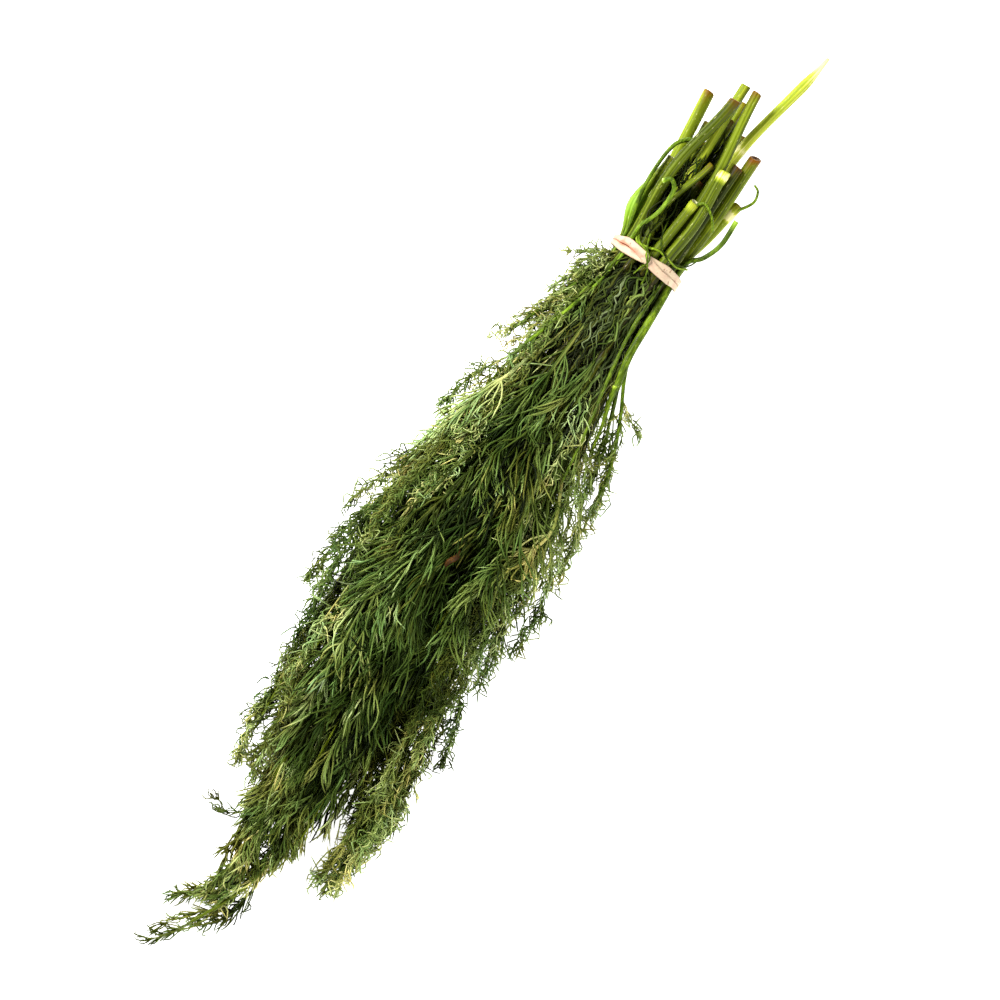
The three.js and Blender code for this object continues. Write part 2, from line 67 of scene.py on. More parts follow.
# Height of each layer of stems in the band and their places across, in millimetres.
LAYERS = {
    "top": (22.7, [-4.6, 0.7, 5.5]),
    "upper": (18.2, [-8.8, -4.4, 0, 4.4, 8.8]),
    "middle": (13.3, [-11, -6.6, -2.2, 2.2, 6.6, 11]),
    "lower": (8.4, [-8.8, -4.4, 0, 4.4, 8.8]),
    "bottom": (3.5, [-2.4, 2.4]),
}

# Each stem, in millimetres: its layer and place in the band, its radius, its cut end (along, across,
# height), how far it bows sideways on the way there, its tip (along, u, v) and where its leaves start. ripe
# is how yellow its skin is and dried how brown its cut, both from 0 to 1.
STEM_KEYS = "layer", "place", "radius", "cut", "bow", "tip", "leafy", "ripe", "dried"
STEM_ROWS = [
    ("top", 0, 1.2, (-42, 0.8, 22.6), -3, (172, -0.42, 1), 4, 0.28, 0.4),
    ("top", 1, 1.75, (-27.5, 3.2, 24.2), 0, (186, 0.02, 1.05), 10, 0.3, 0.1),
    ("top", 2, 1.95, (-42.5, 6.4, 24.3), 1.6, (164, 0.5, 1), 18, 0.28, 0.05),
    ("upper", 0, 2.05, (-66, -4.6, 25.5), -3.2, (186, -0.98, 0.5), 4, 0.27, 0.6),
    ("upper", 1, 1.8, (-73, -4.3, 20.5), 0.8, (234, -0.55, 0.62), 84, 0.58, 0.1),
    ("upper", 2, 1.7, (-35, 0.6, 17.2), 0, (222, -0.1, 0.7), 90, 0.15, 0.7),
    ("upper", 3, 1.85, (-72.5, 0.6, 24.6), 2, (200, 0.5, 0.6), 84, 0.3, 0.6),
    ("upper", 4, 1.8, (-46.7, 9.4, 20), 0, (178, 1, 0.5), 24, 0.1, 0.7),
    ("middle", 0, 1.85, (-37, -12.5, 16.6), -3, (222, -1.2, 0.02), 14, 0.34, 0.1),
    ("middle", 1, 1.7, (-48, -6.6, 15.2), 0, (277, -0.36, 0.1), 150, 0.3, 0.5),
    ("middle", 2, 1.7, (-60, -2.4, 14.6), 0, (295, 0.12, 0.2), 170, 0.2, 0.5),
    ("middle", 3, 1.7, (-62, 1.4, 14), 0, (246, 0.3, 0.42), 165, 0.3, 0.5),
    ("middle", 4, 1.9, (-97.5, 15.2, 17), -4, (242, 1.1, 0.32), 130, 0.66, 0.2),
    ("middle", 5, 2.15, (-53, 12.9, 17.2), 0.8, (226, 1.2, -0.14), 38, 0.36, 0.9),
    ("lower", 0, 2.1, (-64.5, -14.3, 12), 0, (204, -0.96, -0.55), 24, 0.55, 0.7),
    ("lower", 1, 1.75, (-55, -8.4, 8.8), 0, (254, -0.5, -0.5), 120, 0.4, 0.5),
    ("lower", 2, 1.75, (-68, -1.6, 8.8), 0, (232, 0.05, -0.5), 140, 0.4, 0.5),
    ("lower", 3, 1.75, (-50, 5.4, 7.8), 0, (208, 0.4, -0.5), 120, 0.4, 0.5),
    ("lower", 4, 1.85, (-35.6, 17, 12.3), 1.2, (206, 0.86, -0.55), 34, 0.5, 0.4),
    ("bottom", 0, 1.8, (-45, -6.4, 3.2), 0, (192, -0.42, -1), 14, 0.4, 0.5),
    ("bottom", 1, 1.8, (-58, 4.2, 3), 0, (176, 0.36, -1), 20, 0.4, 0.5),
]
STEMS = [dict(zip(STEM_KEYS, row)) for row in STEM_ROWS]
TIP_RADIUS = 0.56 * MM
TIP_LENGTH = 52 * MM  # the last part of a stem, that is all leaf
SKIN, PITH, LEAF = 0, 1, 2  # a stem's materials, in their order
STEM_SIDES = 16
RING_STEP, SPARSE_FROM = 2.5 * MM, 40 * MM  # between rings, and three times as much from there on
GROOVES, GROOVE_DEPTH = 8, 0.035  # round a stem, and how deep as a share of its radius
WAVER, WAVER_LENGTH = 0.03, 9 * MM  # how its thickness wavers: by what share, over what length
SKIN_LENGTH = 20 * MM  # along a stem, for each unit of its grain
SKIN_STEP = 3.7  # from one stem's grain to the next, so that no two are alike
RIPENING = 0.12  # how much yellower a stem is past the band
# The first value is painted shade: among the leaves a stem is coloured dark. The second is how yellow it is
# at its tip.
LEAFY_SHADE_AND_RIPE = (0.03, 0.3)  # how yellow it is among the leaves, and at its tip

# The rings of a cut end, from the bottom of its hollow over the rim to the skin: how far each is from the
# end, in millimetres, and its radius as a share of the stem's. The pointed end has no hollow.
CUT_RINGS = [
    (2.2, 0.06), (2.2, 0.4), (1.6, 0.46), (0.12, 0.52), (0, 0.6), (0, 0.88), (0.14, 0.99), (0.5, 1.02),
]
POINT_RINGS = [(0, 0.1), (0, 0.6), (0.2, 0.85), (0.8, 1)]
# How far a cut end slants, as a share of the radius, least and most, and over what length the slant fades.
CUT_SLANT, SLANT_LENGTH = (0.1, 0.45), 5 * MM
DRIED_LENGTH = 1.6 * MM  # how far the brown of a cut end runs down the skin
# A stem just past the band may be withered brown: by how much, how far on, and over what length it fades.
WITHERED, WITHERED_TO, WITHERED_FADE = 0.5, 28 * MM, 30 * MM
# Pale joints that show on the cut side: the stem, the place along in millimetres, and how much paler.
JOINTS = [
    (12, -52.5, 0.26), (2, -40.8, 1.0), (18, -31, 1.1), (4, -36, 0.12), (1, -26, 0.55), (13, -24, 0.3),
]
JOINT_LENGTH, JOINT_SWELL = 1.5 * MM, 0.16
POINTED, SHEATHED = 12, 8  # the stem with a thin pointed end and the one with a leaf sheath
POINT_LENGTH, POINT_SHARE, POINT_PALE = 14 * MM, 0.4, 0.45  # its length, least radius and how much paler
# Painted light: from 72 mm before the band on, the pointed stem is coloured paler and yellower where the
# stems above it shade it.
POINT_LIGHT, POINT_LIGHT_FROM, POINT_LIGHT_LENGTH = 0.14, -72 * MM, 16 * MM  # yellower nearer the band
SHEATH_AT, SHEATH_REACH, SHEATH_SWELL, SHEATH_PALE = -15 * MM, 10 * MM, 1.2 * MM, 0.3


def mix(a, b, t):
    """a where t is 0 and b where it is 1."""
    return a + (b - a) * t


def ease(t):
    """0 before 0, 1 after 1, and between them a rise that starts and ends level: t squared (3 - 2t)."""
    t = np.clip(t, 0, 1)
    return t * t * (3 - 2 * t)


def unit(vectors):
    """Each vector divided by its length."""
    return vectors / np.maximum(np.linalg.norm(vectors, axis=-1, keepdims=True), 1e-12)


def bundle(along):
    """The bundle's five measures at each place: a cubic through the stations, whose slope at a station is
    that of the line between its neighbours."""
    at, value = BUNDLE[:, 0], BUNDLE[:, 1:]
    low = np.maximum(np.arange(len(at)) - 1, 0)
    high = np.minimum(np.arange(len(at)) + 1, len(at) - 1)
    slope = (value[high] - value[low]) / (at[high] - at[low])[:, None]
    i = np.clip(np.searchsorted(at, along) - 1, 0, len(at) - 2)
    step = (at[i + 1] - at[i])[..., None]
    t = (along - at[i])[..., None] / step
    t2, t3 = t * t, t * t * t
    made = (2 * t3 - 3 * t2 + 1) * value[i] + (t3 - 2 * t2 + t) * step * slope[i]
    made = made + (3 * t2 - 2 * t3) * value[i + 1] + (t3 - t2) * step * slope[i + 1]
    return np.moveaxis(made, -1, 0)


def in_bundle(along, u, v):
    """The point at u and v of the cross-section: across = middle + u times half, and height = waist + v
    times the rise above it or the drop below it."""
    middle, half, waist, rise, drop = bundle(along)
    return np.stack([-along, -(middle + u * half), waist + v * np.where(v > 0, rise, drop)], -1)


def stem_place(stem, along):
    """A stem's u and v: they ease from its place in the band to those of its tip."""
    height, places = LAYERS[stem["layer"]]
    _, half, waist, rise, drop = bundle(np.array(0.0))
    up = height * MM - waist
    u, v = places[stem["place"]] * MM / half, up / (rise if up > 0 else drop)
    t = ease(along / (stem["tip"][0] * MM))
    return mix(u, stem["tip"][1], t), mix(v, stem["tip"][2], t)


def stem_point(stem, along):
    """A stem's middle. Before the band it runs from the band to its cut end by the power 1.2 of the share
    of the way, with a sideways bow of sine squared."""
    past = in_bundle(along, *stem_place(stem, np.maximum(along, 0)))
    tie = in_bundle(np.zeros(1), *stem_place(stem, np.zeros(1)))[0]
    cut = np.array([-stem["cut"][0], -stem["cut"][1], stem["cut"][2]]) * MM
    t = np.clip(-along / cut[0], 0, None)
    before = mix(tie, cut, (t**1.2)[..., None])
    before[..., 0] = -along
    before[..., 1] -= stem["bow"] * MM * np.sin(np.pi * np.clip(t, 0, 1)) ** 2
    return np.where((along >= 0)[..., None], past, before)


def tubes(way, radius, sides, ahead=None, shift=0.0):
    """Closed tubes along m ways of n stations. The ring at a station stands square to the way: its points
    are radius out along cos(turn) of the upper direction and sin(turn) of the one beside it, moved along
    the way by shift. The first ring is closed flat, and the last station is the point at the tube's end."""
    count, stations = way.shape[:2]
    ahead = unit(np.gradient(way, axis=1) if ahead is None else ahead)
    upward = np.array([0.03, 0.05, 1.0])  # a little off +Z, which a way may follow
    over = unit(upward - (ahead @ upward)[..., None] * ahead)
    beside = np.cross(ahead, over)
    rings = stations - 1
    turn = 2 * np.pi * np.arange(sides) / sides
    radius = np.asarray(radius)[..., None] if np.ndim(radius) == 2 else radius
    radius = np.broadcast_to(radius, (count, rings, sides))
    shift = np.broadcast_to(shift, (count, rings, sides))
    ring = way[:, :rings, None] + shift[..., None] * ahead[:, :rings, None]
    ring = ring + (radius * np.cos(turn))[..., None] * over[:, :rings, None]
    ring = ring + (radius * np.sin(turn))[..., None] * beside[:, :rings, None]
    points = np.concatenate([ring.reshape(count, -1, 3), way[:, -1:]], axis=1)
    i, j = np.meshgrid(np.arange(rings - 1), np.arange(sides), indexing="ij")
    a, b = i * sides + j, i * sides + (j + 1) % sides
    walls = np.stack([a, b, b + sides, a, b + sides, a + sides], -1).reshape(-1, 3)
    k = np.arange(1, sides - 1)
    start = np.stack([0 * k, k + 1, k], -1)
    k = np.arange(sides)
    last = (rings - 1) * sides
    end = np.stack([last + k, last + (k + 1) % sides, 0 * k + rings * sides], -1)
    faces = np.concatenate([walls, start, end])
    faces = faces + (np.arange(count) * points.shape[1])[:, None, None]
    return points.reshape(-1, 3), faces.reshape(-1, 3)


def per_point(values, sides):
    """Values at m ways of n stations, repeated for the points of each ring and once at the end point."""
    count = len(values)
    rings = np.repeat(values[:, :-1], sides, axis=1)
    return np.concatenate([rings.reshape(count, -1), values[:, -1:]], axis=1).ravel()


def part(points, faces, tone, share, material, grain=None, hue=0.5):
    """The arrays of one part of a piece: its points and triangles, how light each point is, which in places
    holds painted light and shade, its share, its hue and its place on the skin straightened out. On a leaf
    share is how far out on its own twig the point is and hue how blue it is. On a stem share is how dry it
    is. On the band tone marks where its turns meet, pinker and with painted shade, and hue the painted
    shade along its edges."""
    faces = faces.astype(np.int32)
    return dict(
        points=points,
        faces=faces,
        tone=np.broadcast_to(tone, len(points)),
        share=np.broadcast_to(share, len(points)),
        hue=np.broadcast_to(hue, len(points)),
        grain=points if grain is None else grain,
        material=np.broadcast_to(material, len(faces)),
    )


def bare_stem(index, stem, rng):
    """A stem from the bottom of the hollow in its cut end to its tip. Its radius eases from the band to the
    tip, and is ridged by a cosine of so many turns. The cut slants by a share of the radius, and a joint is
    a bell of swelling and paleness round its place."""
    pointed, sheathed = index == POINTED, index == SHEATHED
    cut, tip = stem["cut"][0] * MM, stem["tip"][0] * MM
    inner, inner_share = np.array(POINT_RINGS if pointed else CUT_RINGS).T
    before = np.arange(cut + RING_STEP, SPARSE_FROM, RING_STEP)
    after = np.linspace(SPARSE_FROM, tip, int((tip - SPARSE_FROM) / (3 * RING_STEP)))
    along = np.concatenate([cut + inner * MM, before, after])
    radius = mix(stem["radius"] * MM, TIP_RADIUS, ease(along / (tip - TIP_LENGTH)) ** 0.7)
    if sheathed:
        radius = radius + SHEATH_SWELL * (1 - ease(np.abs(along - SHEATH_AT) / SHEATH_REACH))
    if pointed:
        radius = radius * mix(POINT_SHARE, 1, ease((along - cut) / POINT_LENGTH))
    radius[: len(inner)] *= inner_share
    way = stem_point(stem, along)
    ahead = stem_point(stem, along + 0.5 * MM) - stem_point(stem, along - 0.5 * MM)
    turn = 2 * np.pi * np.arange(STEM_SIDES) / STEM_SIDES
    ridge = 1 + GROOVE_DEPTH * np.cos(GROOVES * turn) * ease((along[:-1, None] - cut) / (2 * MM))
    joint = 0 * along
    for owner, middle, pale in JOINTS:
        if owner == index:
            joint = joint + pale * np.exp(-(((along - middle * MM) / JOINT_LENGTH) ** 2))
    swell = 1 + WAVER * np.sin(along[:-1] / WAVER_LENGTH + index) + JOINT_SWELL * joint[:-1]
    slant = rng.uniform(*CUT_SLANT) * (0 if pointed else 1)
    lean = rng.uniform(0, 2 * np.pi)
    at_cut = 1 - ease((along[:-1] - cut) / SLANT_LENGTH)
    shift = slant * radius[:-1, None] * np.cos(turn - lean) * at_cut[:, None]
    radius = (radius[:-1] * swell)[:, None] * ridge
    points, faces = tubes(way[None], radius[None], STEM_SIDES, ahead[None], shift[None])

    ring_of = np.repeat(np.arange(len(along) - 1), STEM_SIDES)
    around = np.tile(turn, len(along) - 1)
    grain = np.stack([np.cos(around), np.sin(around), along[ring_of] / SKIN_LENGTH], -1)
    grain = np.concatenate([grain, [[0, 0, tip / SKIN_LENGTH]]]) + index * SKIN_STEP
    hollow = (len(inner) - 2) * STEM_SIDES  # the number of points inside the rim
    in_cut = (faces.max(axis=1) < hollow) & (not pointed)
    place = np.concatenate([along[ring_of], [tip]])
    ragged = 1 + 0.6 * np.sin(3 * np.append(around, 0) + index)
    dry = stem["dried"] * np.exp(-np.maximum(place - cut, 0) / (DRIED_LENGTH * ragged + 0.4 * MM))
    withered = WITHERED * (0.5 + 0.5 * np.sin(3.1 * index)) * ease(place / (6 * MM))
    dry = dry + withered * (1 - ease((place - WITHERED_TO) / WITHERED_FADE))
    tone = stem["ripe"] + RIPENING * ease((place - 5 * MM) / (15 * MM))
    if pointed:
        tone = tone + POINT_PALE * (1 - ease((place - cut) / POINT_LENGTH))
        # Painted light on the part of the pointed stem that its neighbours shade.
        tone = tone + POINT_LIGHT * ease((place - POINT_LIGHT_FROM) / POINT_LIGHT_LENGTH)
    sheath = sheathed * (1 - ease(np.abs(place - SHEATH_AT) / (1.6 * SHEATH_REACH)))
    tone = tone + SHEATH_PALE * sheath
    bare_to = (stem["leafy"] - 20 if stem["leafy"] > 30 else -6) * MM
    # Painted shade among the leaves, and a yellower tip.
    leafy_shade_and_ripe = mix(*LEAFY_SHADE_AND_RIPE, ease((place / tip - 0.65) / 0.35))
    tone = mix(tone, leafy_shade_and_ripe, ease((place - bare_to) / (14 * MM))) + np.append(joint[ring_of], 0)
    tone[:hollow] = stem["dried"]
    material = np.where(in_cut, PITH, SKIN)
    return part(points, faces, tone, dry, material, grain, 0.5 + 0.5 * sheath)


def socket(tree, value, target):
    """Links a socket to the target, or sets the target to a plain value."""
    if isinstance(value, bpy.types.NodeSocket):
        tree.links.new(value, target)
    else:
        target.default_value = value


def node(tree, kind, inputs=None, **settings):
    """Adds a node of this kind with its settings, and links or sets its inputs."""
    made = tree.nodes.new(kind)
    for key, value in settings.items():
        setattr(made, key, value)
    for key, value in (inputs or {}).items():
        socket(tree, value, made.inputs[key])
    return made


def ramp(tree, share, stops):
    """A colour that runs through the stops, each a place from 0 to 1 and its colour."""
    made = node(tree, "ShaderNodeValToRGB", {0: share})
    elements = made.color_ramp.elements
    while len(elements) < len(stops):
        elements.new(0.5)
    for element, (place, colour) in zip(elements, stops):
        element.position = place
        element.color = (*colour, 1)
    return made.outputs[0]


def noise(tree, vector, scale, detail=2.0, rough=0.5):
    """Cloudy noise from 0 to 1."""
    made = node(
        tree, "ShaderNodeTexNoise", {"Vector": vector, "Scale": scale, "Detail": detail, "Roughness": rough}
    )
    return made.outputs[0]


def maths(tree, operation, a, b=0.5, c=0.5, clamp=False):
    """One sum on two numbers, or on three where the operation takes three."""
    inputs = {0: a, 1: b, 2: c}
    return node(tree, "ShaderNodeMath", inputs, operation=operation, use_clamp=clamp).outputs[0]


def centred(tree, cloud, size):
    """Noise as a number that swings by half of size to each side of 0: noise times size, less that half."""
    return maths(tree, "MULTIPLY_ADD", cloud, size, -size / 2)


def added(tree, first, second, clamp=True):
    """The sum of the two, kept from 0 to 1 unless clamp is False."""
    return maths(tree, "ADD", first, second, clamp=clamp)


def scaled(tree, vector, scale):
    """The vector stretched by a scale of its own on each axis."""
    return node(tree, "ShaderNodeMapping", {0: vector, 3: scale}).outputs[0]


def blend(tree, share, first, second):
    """The first colour where share is 0 and the second where it is 1."""
    return node(tree, "ShaderNodeMix", {0: share, 6: first, 7: second}, data_type="RGBA").outputs[2]


def tinted(tree, colour, tint):
    """The colour multiplied by the tint."""
    inputs = {0: 1.0, 6: colour, 7: tint}
    return node(tree, "ShaderNodeMix", inputs, data_type="RGBA", blend_type="MULTIPLY").outputs[2]


def attribute(tree, name, output="Fac"):
    """An attribute of the mesh."""
    return node(tree, "ShaderNodeAttribute", attribute_name=name).outputs[output]


def new_material(name):
    """An empty material with its output, and its node tree."""
    made = bpy.data.materials.new(name)
    made.use_nodes = True
    made.node_tree.nodes.clear()
    return made, made.node_tree


def finish_material(tree, colour, roughness, height, depth, through=None, share=0.0, specular=0.5):
    """A bumped surface of this colour and roughness. Where through is given, that share of the light passes
    through the leaf in that colour."""
    bump = node(tree, "ShaderNodeBump", {"Height": height, "Distance": depth, "Strength": 1.0}).outputs[0]
    surface = node(
        tree,
        "ShaderNodeBsdfPrincipled",
        {"Base Color": colour, "Roughness": roughness, "Normal": bump, "Specular IOR Level": specular},
    ).outputs[0]
    if through is not None:
        glow = node(tree, "ShaderNodeBsdfTranslucent", {"Color": through, "Normal": bump}).outputs[0]
        surface = node(tree, "ShaderNodeMixShader", {0: share, 1: surface, 2: glow}).outputs[0]
    node(tree, "ShaderNodeOutputMaterial", {0: surface})


def stem_skin():
    """Green skin, darker in its grooves and yellower where the stem is ripe, with pale flecks that are
    partly painted highlights, a soft shine and a brown edge at the cut."""
    made, tree = new_material("stem_skin")
    grain = attribute(tree, "grain", "Vector")
    streak = noise(tree, scaled(tree, grain, (5, 5, 0.35)), 1.0, 3, 0.6)
    blotch = noise(tree, scaled(tree, grain, (0.7, 0.7, 0.5)), 1.0, 2)
    flecks_and_glints = noise(tree, scaled(tree, grain, (6, 6, 9)), 1.0, 2)
    share = added(tree, centred(tree, streak, 0.9), attribute(tree, "tone"), clamp=False)
    share = added(tree, share, centred(tree, blotch, 0.7))
    greens = [
        (0.0, (0.012, 0.018, 0.001)),
        (0.3, (0.078, 0.108, 0.004)),
        (0.6, (0.25, 0.32, 0.012)),
        (0.85, (0.5, 0.54, 0.05)),
        (1.0, (0.85, 0.8, 0.36)),
    ]
    tints = [(0.0, (1.2, 1.0, 0.9)), (0.5, (1.0, 1.0, 1.0)), (1.0, (0.72, 1.05, 1.5))]
    browns = [(0.0, (0.035, 0.017, 0.006)), (0.4, (0.17, 0.06, 0.003)), (1.0, (0.3, 0.13, 0.01))]
    colour = tinted(tree, ramp(tree, share, greens), ramp(tree, attribute(tree, "hue"), tints))
    # Pale flecks: partly the skin's own, partly painted highlights.
    pale = maths(tree, "GREATER_THAN", flecks_and_glints, 0.7)
    colour = blend(tree, maths(tree, "MULTIPLY", pale, 0.6), colour, (0.7, 0.66, 0.3, 1))
    dry = maths(tree, "MULTIPLY", attribute(tree, "share"), 1.5, clamp=True)
    colour = blend(tree, dry, colour, ramp(tree, share, browns))
    roughness = maths(tree, "MULTIPLY_ADD", streak, 0.2, 0.3)
    finish_material(tree, colour, roughness, streak, 0.00009, colour, 0.12, 0.07)
    return made


def cut_pith():
    """Pale spongy pith, browned where the cut has dried."""
    made, tree = new_material("cut_pith")
    place = node(tree, "ShaderNodeTexCoord").outputs["Object"]
    cells = node(tree, "ShaderNodeTexVoronoi", {"Vector": place, "Scale": 2600.0}).outputs[0]
    stain = noise(tree, place, 700.0, 3)
    share = added(tree, centred(tree, stain, 0.9), attribute(tree, "tone"))
    piths = [
        (0.0, (0.72, 0.74, 0.38)),
        (0.35, (0.5, 0.42, 0.16)),
        (0.7, (0.26, 0.13, 0.04)),
        (1.0, (0.08, 0.03, 0.01)),
    ]
    roughness = maths(tree, "MULTIPLY_ADD", cells, 0.3, 0.6)
    finish_material(tree, ramp(tree, share, piths), roughness, cells, 0.0004)
    return made


# ------------------------------------------------------------------ fronds
# A dill leaf is a thin stalk with pairs of twigs, and each twig carries pairs of soft threads half a
# millimetre thick, green right through. In the bunch the wilting leaves are combed flat towards the tips.

FROND_SPACING = 10.5 * MM  # along a stem
STALK_LENGTH = (14 * MM, 42 * MM)  # the bare part of a leaf, least and most
BLADE_LENGTH = (38 * MM, 62 * MM)
WAY_STATIONS = 13
TWIG_STATIONS = 5
TWIG_REACH = (0.42, 0.18)  # of the blade's length, at its start and end
THREAD_LENGTH = (16 * MM, 12 * MM)
RACHIS_RADIUS, TWIG_RADIUS, THREAD_RADIUS = 0.6 * MM, 0.43 * MM, 0.38 * MM
LOWEST = 0.5 * MM  # how low the middle of a thread may lie
PRESSED_TOP, PRESSED_SHARE = 1.28, 0.56  # in v, and the share of their rise that leaves keep above it
TWIG_LEAN, THREAD_LEAN = (0.6, 0.32), (0.5, 0.26)  # in radians off what bears them, at its start and end
RACHIS_SIDES, TWIG_SIDES = 5, 3
# Kinds of leaves: how many pairs of twigs on a leaf and of threads on a twig, stations on a thread, how
# long the twigs and threads are, how curly they are and how far they spread.
KIND_KEYS = "twig_pairs", "thread_pairs", "thread_stations", "twig", "thread", "curly", "spread"
OUTER = dict(zip(KIND_KEYS, (6, 3, 6, 1.0, 1.15, 0.24, 0.85)))
INNER = dict(zip(KIND_KEYS, (5, 2, 5, 1.0, 1.0, 0.22, 1.0)))
LACY = dict(zip(KIND_KEYS, (8, 3, 5, 0.66, 0.5, 1.0, 1.0)))
TAILING = dict(zip(KIND_KEYS, (7, 3, 5, 0.62, 0.85, 0.35, 0.6)))
STRAGGLING = dict(zip(KIND_KEYS, (7, 2, 5, 0.37, 0.58, 0.5, 0.8)))
FRINGE = dict(zip(KIND_KEYS, (6, 2, 5, 0.62, 0.4, 1.0, 1.6)))
SPRIG = dict(zip(KIND_KEYS, (4, 2, 5, 0.4, 0.5, 0.8, 1.0)))
LACY_FINE = 0.55  # how thick the twigs of lacy leaves are, as a share of the others'
LACY_FROM = (0.0, 0.74)  # in u: leaves that end further out at the sides are lacy, at the band and past it
LACY_WITHIN = 105 * MM
LACY_HUE, FRINGE_HUE = -0.15, -0.3  # how much bluer than yellowish, beside the others
# Painted light and shade on the leaves by their place: how much lighter than MIDDLE_TONE the leaves are
# that end at each place along, in millimetres: those on the bundle's top and those at its sides, which are
# painted lit. TONE_SPREAD is how much they differ among themselves.
TOP_PAINTED_LIGHT_AND_SHADE = [50, 84, 106, 140, 190, 225, 300], [0.2, 0.22, -0.19, -0.2, 0.0, 0.2, 0.28]
SIDE_PAINTED_LIGHT = [50, 96, 125, 160, 215, 260, 300], [0.65, 0.67, 0.32, 0.05, 0.15, 0.26, 0.3]
TONE_SPREAD = [60, 120], [0.25, 0.15]
MIDDLE_TONE = 0.4
# Painted shade on the leaves in the gap on top.
HOLLOW_PAINTED_SHADE = 0.25  # how much darker they are in the gap on top
LEAF_HUES = [0, 40, 80, 170, 215, 260, 300], [-0.45, -0.25, -0.05, 0.0, -0.2, -0.35, -0.36]  # by mm along
PALE_HUE, PALE_SHARE = 0.42, 0.7  # pale leaves are alike in hue: what they are drawn to, and by how much
OUTER_SHARE = 0.68  # of the leaves lie on the outside of the bundle, where their threads show
OUTER_REACH, INNER_REACH = (0.8, 1.25), (0.35, 0.75)  # of the way from the bundle's middle to its outside
# Painted shade: leaves inside the bundle, and outer ones that lie deeper, are coloured darker.
INNER_PAINTED_SHADE, DEPTH_PAINTED_SHADE = -0.3, 0.6  # leaves inside are darker, and outer ones by how deep they lie
LEAST_TONE = -0.08
# The collar: how many leaves, where along they start, in millimetres, how long they are, how light (mean
# and spread), what share of each is bare, and in u, how far to the side the stems that have one end.
COLLAR_LEAVES, COLLAR_START, COLLAR_LENGTH = 8, (0.5, 9), (9 * MM, 34 * MM)
COLLAR_TONE, COLLAR_BARE, COLLARED = (0.62, 0.22), 0.15, -0.9
BLADES_FROM = 36 * MM  # nearer the band the leaves are bare stalks
STALKS_FROM, LEAST_STALK = 4 * MM, 4 * MM  # no leaf leaves its stem nearer the band, or has a shorter stalk
TIP_BARE, TIP_PASSED = 24 * MM, 6 * MM  # the last blade starts so far before a stem's tip, and may pass it
FAN = (1.8, 0.4)  # in radians: how leaves spread round the bundle from a stem in its middle and outside it
# Long bare stalks and threads along the bundle's outside: how many for each stem, where they start, how
# long and how curly they are, how light the deep ones, darkened as painted shade, and the outer ones are,
# and what share of them is grey.
STRANDS = 9, (10 * MM, 130 * MM), (22 * MM, 60 * MM), 0.2, (0.24, 0.42), 0.15
BAND_STRANDS = 26, (-1 * MM, 20 * MM), (14 * MM, 38 * MM), 0.6, (-0.2, 0.36), 0.5
GROUND_STRANDS = 14, (-1 * MM, 12 * MM), (26 * MM, 60 * MM), 0.35, (-0.15, 0.2), 0.3
STRAND_STATIONS, STRAND_SIDES = 34, 5
STRAND_PACE, STRAND_CRIMP = (200, 380), (500, 1000)  # radians in a metre, of its slow and its quick waves
STRAND_LIFT, LIFTED_WITHIN = 0.2, 60 * MM  # how much further out strands lie near the band
GREY_HUE = 1.6  # past the bluest green
HOLLOW_AT, HOLLOW_SIZE = (203 * MM, 14 * MM), (20 * MM, 8 * MM)  # a gap on top: along and across
TAIL_FROM, TAIL_NARROWING = 217 * MM, 24 * MM  # where the middle of the bundle draws in to a tail
TAIL_WITHIN, TAIL_SHIFT = 0.7, (-0.2, -0.02)  # in u: the stems that reach into the tail, and its middle
TAIL_REACH = (0.42, 0.12)
TAIL_CLOSING = 262 * MM, 26 * MM  # where the tail thins to a strand
STRAGGLING_FROM, TAIL_BLADES_TO = 262 * MM, 276 * MM


def on_way(way, t):
    """The points at shares t of each way, on straight lines between its stations."""
    last = way.shape[1] - 1
    place = np.clip(t, 0, 1) * last
    low = np.minimum(place.astype(int), last - 1)
    rest = (place - low)[..., None]
    row = np.arange(len(way)).reshape((-1,) + (1,) * (t.ndim - 1))
    return way[row, low] * (1 - rest) + way[row, low + 1] * rest


def outward(points):
    """The direction square to the oval of the bundle through each point."""
    middle, half, waist, rise, drop = bundle(-points[..., 0])
    up = points[..., 2] - waist
    y = (points[..., 1] + middle) / half**2
    z = up / np.where(up > 0, rise, drop) ** 2
    return unit(np.stack([0 * y, y, z], -1) + 1e-9)


def branch(start, way_out, length, comb, stations, wave):
    """Twigs that leave start towards way_out and bend towards comb: start + length (s way_out + s squared
    half of (comb - way_out) + wave times the sine of 4 s)."""
    s = np.linspace(0, 1, stations)[:, None]
    bend = 0.5 * (comb - way_out)[..., None, :]
    way = s * way_out[..., None, :] + s * s * bend + wave[..., None, :] * np.sin(4 * s)
    return start[..., None, :] + length[..., None, None] * way


def laid(way):
    """Ways as their weight lays them: what rises above the bundle's pressed top keeps only a share of that
    rise, and nothing is lower than a thread lying on the surface below."""
    _, _, waist, rise, _ = bundle(-way[..., 0])
    top = waist + PRESSED_TOP * rise
    pressed = top + PRESSED_SHARE * (way[..., 2] - top)
    way[..., 2] = np.maximum(np.minimum(way[..., 2], pressed), LOWEST)
    return way


def sway(points):
    """How the leaves are combed: a slow wave through the bunch, the same for neighbouring threads. It is a
    sum of two sines of the place across, and another one up."""
    x, y, z = np.moveaxis(points / (10 * MM), -1, 0)
    return np.stack(
        [
            0 * x,
            np.sin(1.1 * x + 1.7 * y + 0.4 * z) + 0.6 * np.sin(2.3 * x - 2.9 * y + 1.3),
            0.5 * np.sin(1.4 * x - 1.2 * y + 2.0) + 0.4 * np.sin(2.7 * x + 2.2 * y),
        ],
        -1,
    )


